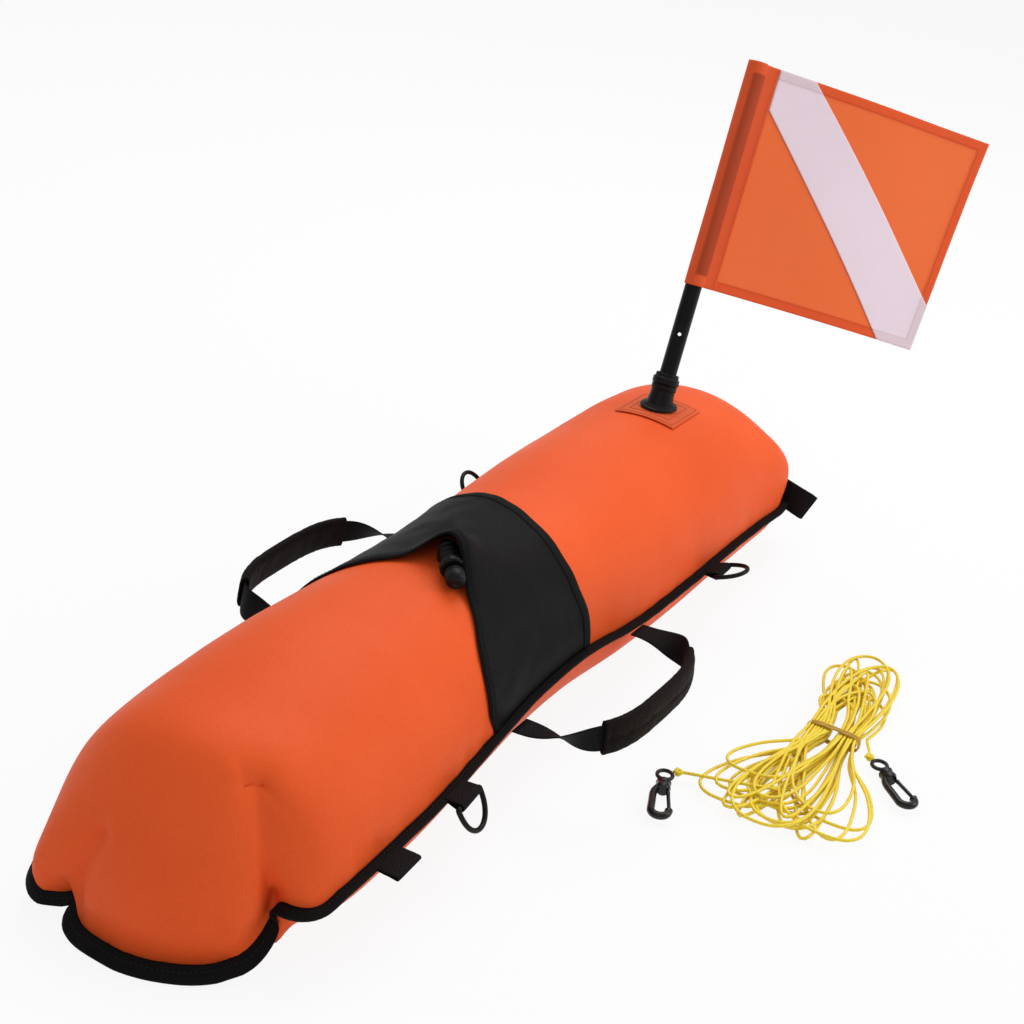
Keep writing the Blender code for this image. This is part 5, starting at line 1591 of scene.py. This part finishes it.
LINE_DIAMETER = 0.003
HANK_CENTRE = (0.080, -0.315)
HANK_TAIL_REACH = 0.166
HANK_NOSE_REACH = 0.156
HANK_TAIL_SPREAD = 0.040
HANK_NOSE_SPREAD = 0.024
TAIL_FAN = math.radians(21.0)
NOSE_FAN = math.radians(10.0)
NOSE_FAN_MIDDLE = math.radians(6.0)
FAN_OPENS = 0.45
WAIST_HALF_GAP = 0.0032
WAIST_STEP = 0.0031
LAYER_STEP = 0.0036
HANK_LAYERS = 4
LOOPS_PER_LAYER = 6
POINTS_PER_LOOP = 24
HANK_START_TURN = -0.20
HANK_END_TURN = 0.375
LOBE_POWER = 1.5
FLOOR_GAP = 0.0004
TIE_WIDTH = 0.006
TIE_THICKNESS = 0.0012
TIE_CLEARANCE = 0.0009
KNOT_RADIUS = 0.0046
HOOK_PLACES = {"left": (-0.072, -0.2165, -159.0), "right": (0.066, -0.3655, -134.5)}
KNOT_HEADINGS = {"left": -33.0, "right": 62.0}
EYE_RADIUS = 0.0068
EYE_ROD = 0.0036
BARREL_RADIUS = 0.0068
LINE_COLUMNS = 8
LINE_POINTS = 3200
STRANDS = 3
LAY_LENGTH = 0.0042
TIE_TURNS = 4
TIE_STEPS = 72
KNOT_STEPS = 96


def loop_point(turn_count):
    """The wound cord after a number of turns: round the loop, in and out, and up the layers."""
    last = LOOPS_PER_LAYER
    layer = turn_count / last
    whole = min(int(layer), HANK_LAYERS - 1)
    inward = turn_count - whole * last
    step_out = last - inward if whole % 2 == 0 else inward
    nearest = round(layer)
    climb = nearest + min(max(2.0 * (turn_count - nearest * last), -0.5), 0.5)
    if nearest in (0, HANK_LAYERS):
        climb = 0.5 if nearest == 0 else HANK_LAYERS - 0.5
    angle = 2.0 * math.pi * turn_count
    side, end = math.sin(angle), math.cos(angle)
    heading, spread, reach = lobe_of(turn_count, end < 0.0)
    waist = WAIST_HALF_GAP + step_out * WAIST_STEP
    heading *= eased(abs(end) / FAN_OPENS)
    lateral = side * (waist * side * side + 2.0 * spread * abs(end) ** LOBE_POWER)
    x = HANK_CENTRE[0] + end * reach * math.cos(heading) - abs(lateral * end) * 0.1
    y = HANK_CENTRE[1] + lateral + abs(end) * reach * math.sin(heading)
    base = FLOOR_GAP + TIE_THICKNESS + TIE_CLEARANCE + LINE_DIAMETER / 2.0
    height = base + (climb - 0.5) * LAYER_STEP
    return Vector((x, y, height + 0.0012 * noise_at(turn_count * 3.0, 1.0, 0.0)))


def lobe_of(turn_count, tail):
    """Heading, half width and reach of the lobe that a turn is in: each has its own place in the fan."""
    index = math.floor(turn_count) if tail else round(turn_count)
    layer, place = divmod(min(max(index, 0), HANK_LAYERS * LOOPS_PER_LAYER - 1), LOOPS_PER_LAYER)
    place = place if layer % 2 == 0 else LOOPS_PER_LAYER - 1 - place
    share = (place + 0.5 + 0.25 * (layer - 1.5)) / LOOPS_PER_LAYER * 2.0 - 1.0
    slip = [noise_at(index * 5.3 + seed, seed, 40.0 * tail) for seed in (3.1, 11.7, 29.3)]
    if tail:
        heading, spread = TAIL_FAN * share, HANK_TAIL_SPREAD
        reach = HANK_TAIL_REACH * (1.0 - 0.05 * share * share)
    else:
        heading, spread = NOSE_FAN_MIDDLE + NOSE_FAN * share, HANK_NOSE_SPREAD
        reach = HANK_NOSE_REACH * (1.0 - 0.16 * max(share, 0.0))
    spread *= (0.85, 0.26, 0.55)[index % 3] + 0.4 * slip[1]
    shares = (0.84, 1.02, 0.93, 0.78, 0.98) if tail else (0.62, 0.98, 0.76, 0.52, 0.86)
    reach *= shares[index % 5] + 0.10 * slip[2]
    return heading + 0.10 * slip[0], spread, reach


def smooth_route(points, count):
    """Points along a smooth curve through a cord's own route points."""
    ends = [points[0] * 2.0 - points[1]] + points + [points[-1] * 2.0 - points[-2]]
    route = []
    for index in range(count + 1):
        place = index / count * (len(points) - 1)
        knot = min(int(place), len(points) - 2)
        part = place - knot
        a, b, c, d = ends[knot : knot + 4]
        route.append(
            (b * 2.0 + (c - a) * part + (a * 2.0 - b * 5.0 + c * 4.0 - d) * part**2
             + (b * 3.0 - a - c * 3.0 + d) * part**3) / 2.0
        )
    return route


first_turn, last_turn = HANK_START_TURN, HANK_LAYERS * LOOPS_PER_LAYER + HANK_END_TURN
hank_turns = last_turn - first_turn
hank_count = round(hank_turns * POINTS_PER_LOOP)
hank = [loop_point(first_turn + hank_turns * step / hank_count) for step in range(hank_count + 1)]
knots, line_ends = {}, {}
for side_name, end, inner in (("right", hank[0], hank[1]), ("left", hank[-1], hank[-2])):
    x, y, _ = HOOK_PLACES[side_name]
    heading = math.radians(KNOT_HEADINGS[side_name])
    reach = EYE_RADIUS + EYE_ROD / 2.0 + FIT_GAP + KNOT_RADIUS
    eye = Vector((x, y, FLOOR_GAP + BARREL_RADIUS))
    knots[side_name] = eye + Vector((math.cos(heading), math.sin(heading), 0.0)) * reach
    away = (end - inner).normalized()
    toward = (end - knots[side_name]).normalized()
    stop = knots[side_name] + toward * 0.6 * KNOT_RADIUS
    line_ends[side_name] = [stop, stop + toward * 2.0 * LINE_DIAMETER, end + away * 2.0 * LINE_DIAMETER]
line_path = line_ends["right"] + hank + list(reversed(line_ends["left"]))
line_path = smooth_route(line_path, 6 * (len(line_path) - 1))
line_path, _ = evenly_spaced(line_path, LINE_POINTS)


def make_laid_group():
    """Laid cord from its UV map in metres: the strands' slant, the shade between them and fine fibres."""
    kinds = {"UV": "Vector", "Place": "Vector", "Colour": "Color", "Shade": "Color"}
    group, start, end = new_group("laid cord", kinds)
    split = group.nodes.new("ShaderNodeSeparateXYZ")
    group.links.new(start["UV"], split.inputs[0])
    around = maths(group, "MULTIPLY", split.outputs["Y"], STRANDS * 2.0 / LINE_DIAMETER)
    slants = []
    for way in (1.0, -1.0):
        slant = maths(group, "MULTIPLY_ADD", split.outputs["X"], way * 2.0 * math.pi / LAY_LENGTH, around)
        slants.append(maths(group, "SINE", slant))
    strands = maths(group, "MULTIPLY_ADD", maths(group, "MAXIMUM", *slants), 0.5, 0.5)
    fibres = noise_value(group, start["Place"], 1500.0, 2.0)
    patches = noise_value(group, start["Place"], 45.0, 3.0)
    shade = maths(group, "MULTIPLY_ADD", strands, -0.45, maths(group, "MULTIPLY", patches, 0.9))
    rough = maths(group, "MULTIPLY_ADD", fibres, 0.3, 0.22)
    height = maths(group, "MULTIPLY_ADD", fibres, 0.35, strands)
    return end_group(group, end, shade, start["Colour"], start["Shade"], rough, height)


LAID = make_laid_group()


def line_material(name, colour, shade):
    constants = {"Sheen Weight": 0.15, "Subsurface Weight": 0.25, "Subsurface Radius": (0.003, 0.002, 0.0005)}
    return grouped_material(name, LAID, {"Colour": colour, "Shade": shade}, 0.45, 0.0004, constants)


yellow_line = line_material("yellow laid line", tone(255, 228, 44), tone(250, 200, 18))
line = add_piece(
    "yellow_line_hank", round_shape(line_path, LINE_DIAMETER / 2.0, False, LINE_COLUMNS), yellow_line,
    "line", ["line_hank", "line_end_left", "line_end_right"],
)

tie_yarn = line_material("brownish tie", tone(214, 170, 44), tone(160, 116, 26))
corner = LINE_DIAMETER / 2.0 + TIE_CLEARANCE + TIE_THICKNESS / 2.0
wide = WAIST_HALF_GAP + (LOOPS_PER_LAYER + HANK_END_TURN) * WAIST_STEP
high = (HANK_LAYERS - 1) * LAYER_STEP / 2.0
tie_middle = Vector((HANK_CENTRE[0], HANK_CENTRE[1], FLOOR_GAP + TIE_THICKNESS / 2.0 + corner + high))
tie_path = []
for index in range(TIE_TURNS * TIE_STEPS + 1):
    turn = 2.0 * math.pi * index / TIE_STEPS
    x = TIE_WIDTH * (index / (TIE_TURNS * TIE_STEPS) - 0.5)
    y = wide * powered(math.cos(turn), 0.35) + corner * math.cos(turn)
    z = high * powered(math.sin(turn), 0.35) + corner * math.sin(turn)
    tie_path.append(tie_middle + Vector((x, y * 0.97, z)))
tie_path = smoothed(tie_path, 3, closed=False)
add_piece(
    "hank_tie_yarn", round_shape(tie_path, TIE_THICKNESS * 0.62, False, 8, Vector((1.0, 0.0, 0.0))), tie_yarn,
    "line", ["hank_tie"],
)

for side_name, spot in knots.items():
    coil = []
    for index in range(KNOT_STEPS):
        turn = 2.0 * math.pi * index / KNOT_STEPS
        radius = KNOT_RADIUS * (0.50 + 0.20 * math.cos(3.0 * turn))
        height = 0.30 * KNOT_RADIUS * math.sin(3.0 * turn)
        coil.append(spot + Vector((radius * math.cos(2.0 * turn), radius * math.sin(2.0 * turn), height)))
    shape = round_shape(coil, LINE_DIAMETER * 0.5, True, 10)
    knot = add_piece(
        f"hook_knot_{side_name}", shape, yellow_line, "line", [f"line_knot_{side_name}"]
    )


# Each end has a black moulded snap hook: an eye that swivels in its barrel, a bent hook and a sprung gate.
# The gate turns inwards on a pin beside the barrel and rests against the hook's nose.

HOOK_LENGTH = 0.070
HOOK_HALF_WIDTH = 0.0105
HOOK_ROD = 0.0058
BARREL_LENGTH = 0.013
SWIVEL_STEM_RADIUS = 0.0025
GATE_THICKNESS = 0.004
GATE_GAP = 0.0005
EYE_STEPS = 64
BEND_STEPS = 12
GATE_STEPS = 40
HOOK_EDGE = 45.0

hook_plastic = moulded_material("hook plastic", tone(20, 19, 20), tone(38, 37, 38), 0.30, 800.0, 0.15, 0.08)
for side_name, (x, y, heading) in HOOK_PLACES.items():
    hook_frame = Matrix.Translation((x, y, FLOOR_GAP + BARREL_RADIUS))
    hook_frame = hook_frame @ Matrix.Rotation(math.radians(heading), 4, "Z")
    hook_axis = hook_frame.to_3x3() @ Vector((1.0, 0.0, 0.0))
    eye_path = []
    for step in range(EYE_STEPS):
        turn = 2.0 * math.pi * step / EYE_STEPS
        eye_path.append(hook_frame @ Vector((EYE_RADIUS * math.cos(turn), EYE_RADIUS * math.sin(turn), 0.0)))
    eye_shape = round_shape(eye_path, EYE_ROD / 2.0, True, 14)
    stem_end = EYE_RADIUS + EYE_ROD + BARREL_LENGTH * 0.7
    stem_outline = [
        (0.0, stem_end), (SWIVEL_STEM_RADIUS, stem_end), (SWIVEL_STEM_RADIUS, EYE_RADIUS + 0.0026),
        (SWIVEL_STEM_RADIUS + 0.0009, EYE_RADIUS + 0.0008), (0.0, EYE_RADIUS + 0.0006),
    ]
    spun(eye_shape, softened(stem_outline, 0.0005), hook_frame.translation, hook_axis, 32)
    add_piece(
        f"swivel_eye_{side_name}", eye_shape, hook_plastic, "line",
        [f"hook_eye_{side_name}"], HOOK_EDGE,
    )

    wide = HOOK_HALF_WIDTH - HOOK_ROD / 2.0
    root = EYE_RADIUS + EYE_ROD + BARREL_LENGTH
    bend = HOOK_LENGTH - EYE_RADIUS - HOOK_ROD / 2.0 - wide
    route = [
        Vector((root - HOOK_ROD, -wide * 0.4, 0.0)), Vector((root - 0.001, -wide * 0.75, 0.0)),
        Vector((root + HOOK_ROD, -wide, 0.0)), Vector((root + (bend - root) * 0.6, -wide, 0.0)),
    ]
    for step in range(BEND_STEPS + 1):
        turn = math.pi * (step / BEND_STEPS - 0.5)
        route.append(Vector((bend + wide * math.cos(turn), wide * math.sin(turn), 0.0)))
    route.append(Vector((bend - HOOK_ROD * 0.45, wide, 0.0)))
    route = [hook_frame @ spot for spot in smooth_route(route, 120)]
    radii = []
    for index in range(len(route)):
        share = index / (len(route) - 1)
        swell = 1.08 + 0.14 * math.sin(math.pi * share) + 0.16 * math.exp(-((share - 0.97) / 0.04) ** 2)
        radii.append(HOOK_ROD / 2.0 * swell * min(1.0, 0.55 + (1.0 - share) * 24.0))
    body_shape = round_shape(route, radii, False, 16)
    low = EYE_RADIUS + EYE_ROD + FIT_GAP
    high = low + BARREL_LENGTH
    barrel_bore = SWIVEL_STEM_RADIUS + FIT_GAP
    barrel_outline = [
        (barrel_bore, low), (BARREL_RADIUS - 0.0016, low), (BARREL_RADIUS, low + 0.0018),
        (BARREL_RADIUS - 0.0006, low + 0.0040), (BARREL_RADIUS - 0.0006, high - 0.0052),
        (BARREL_RADIUS, high - 0.0034), (BARREL_RADIUS - 0.0014, high), (0.0, high),
        (0.0, stem_end + FIT_GAP), (barrel_bore, stem_end + FIT_GAP),
    ]
    spun(body_shape, barrel_outline, hook_frame.translation, hook_axis, 48, closed=True)
    add_piece(
        f"snap_hook_{side_name}", body_shape, hook_plastic, f"hook_{side_name}",
        [f"hook_body_{side_name}"], HOOK_EDGE,
    )

    root = Vector((high + GATE_GAP, BARREL_RADIUS - GATE_THICKNESS / 2.0, 0.0))
    tip = Vector((bend - HOOK_ROD * 0.7 - GATE_GAP, wide, 0.0))
    gate_route, gate_radii = [], []
    for step in range(GATE_STEPS + 1):
        share = step / GATE_STEPS
        gate_route.append(hook_frame @ root.lerp(tip, share))
        knuckle = 0.86 + 0.14 * math.exp(-((share - 0.06) / 0.08) ** 2)
        rounding = min(1.0, 0.6 + 0.25 * (min(share, 1.0 - share) * 40.0))
        gate_radii.append(GATE_THICKNESS / 2.0 * knuckle * rounding)
    add_piece(
        f"sprung_gate_{side_name}", round_shape(gate_route, gate_radii, False, 14), hook_plastic,
        f"gate_{side_name}", [f"hook_gate_{side_name}"], HOOK_EDGE,
    )
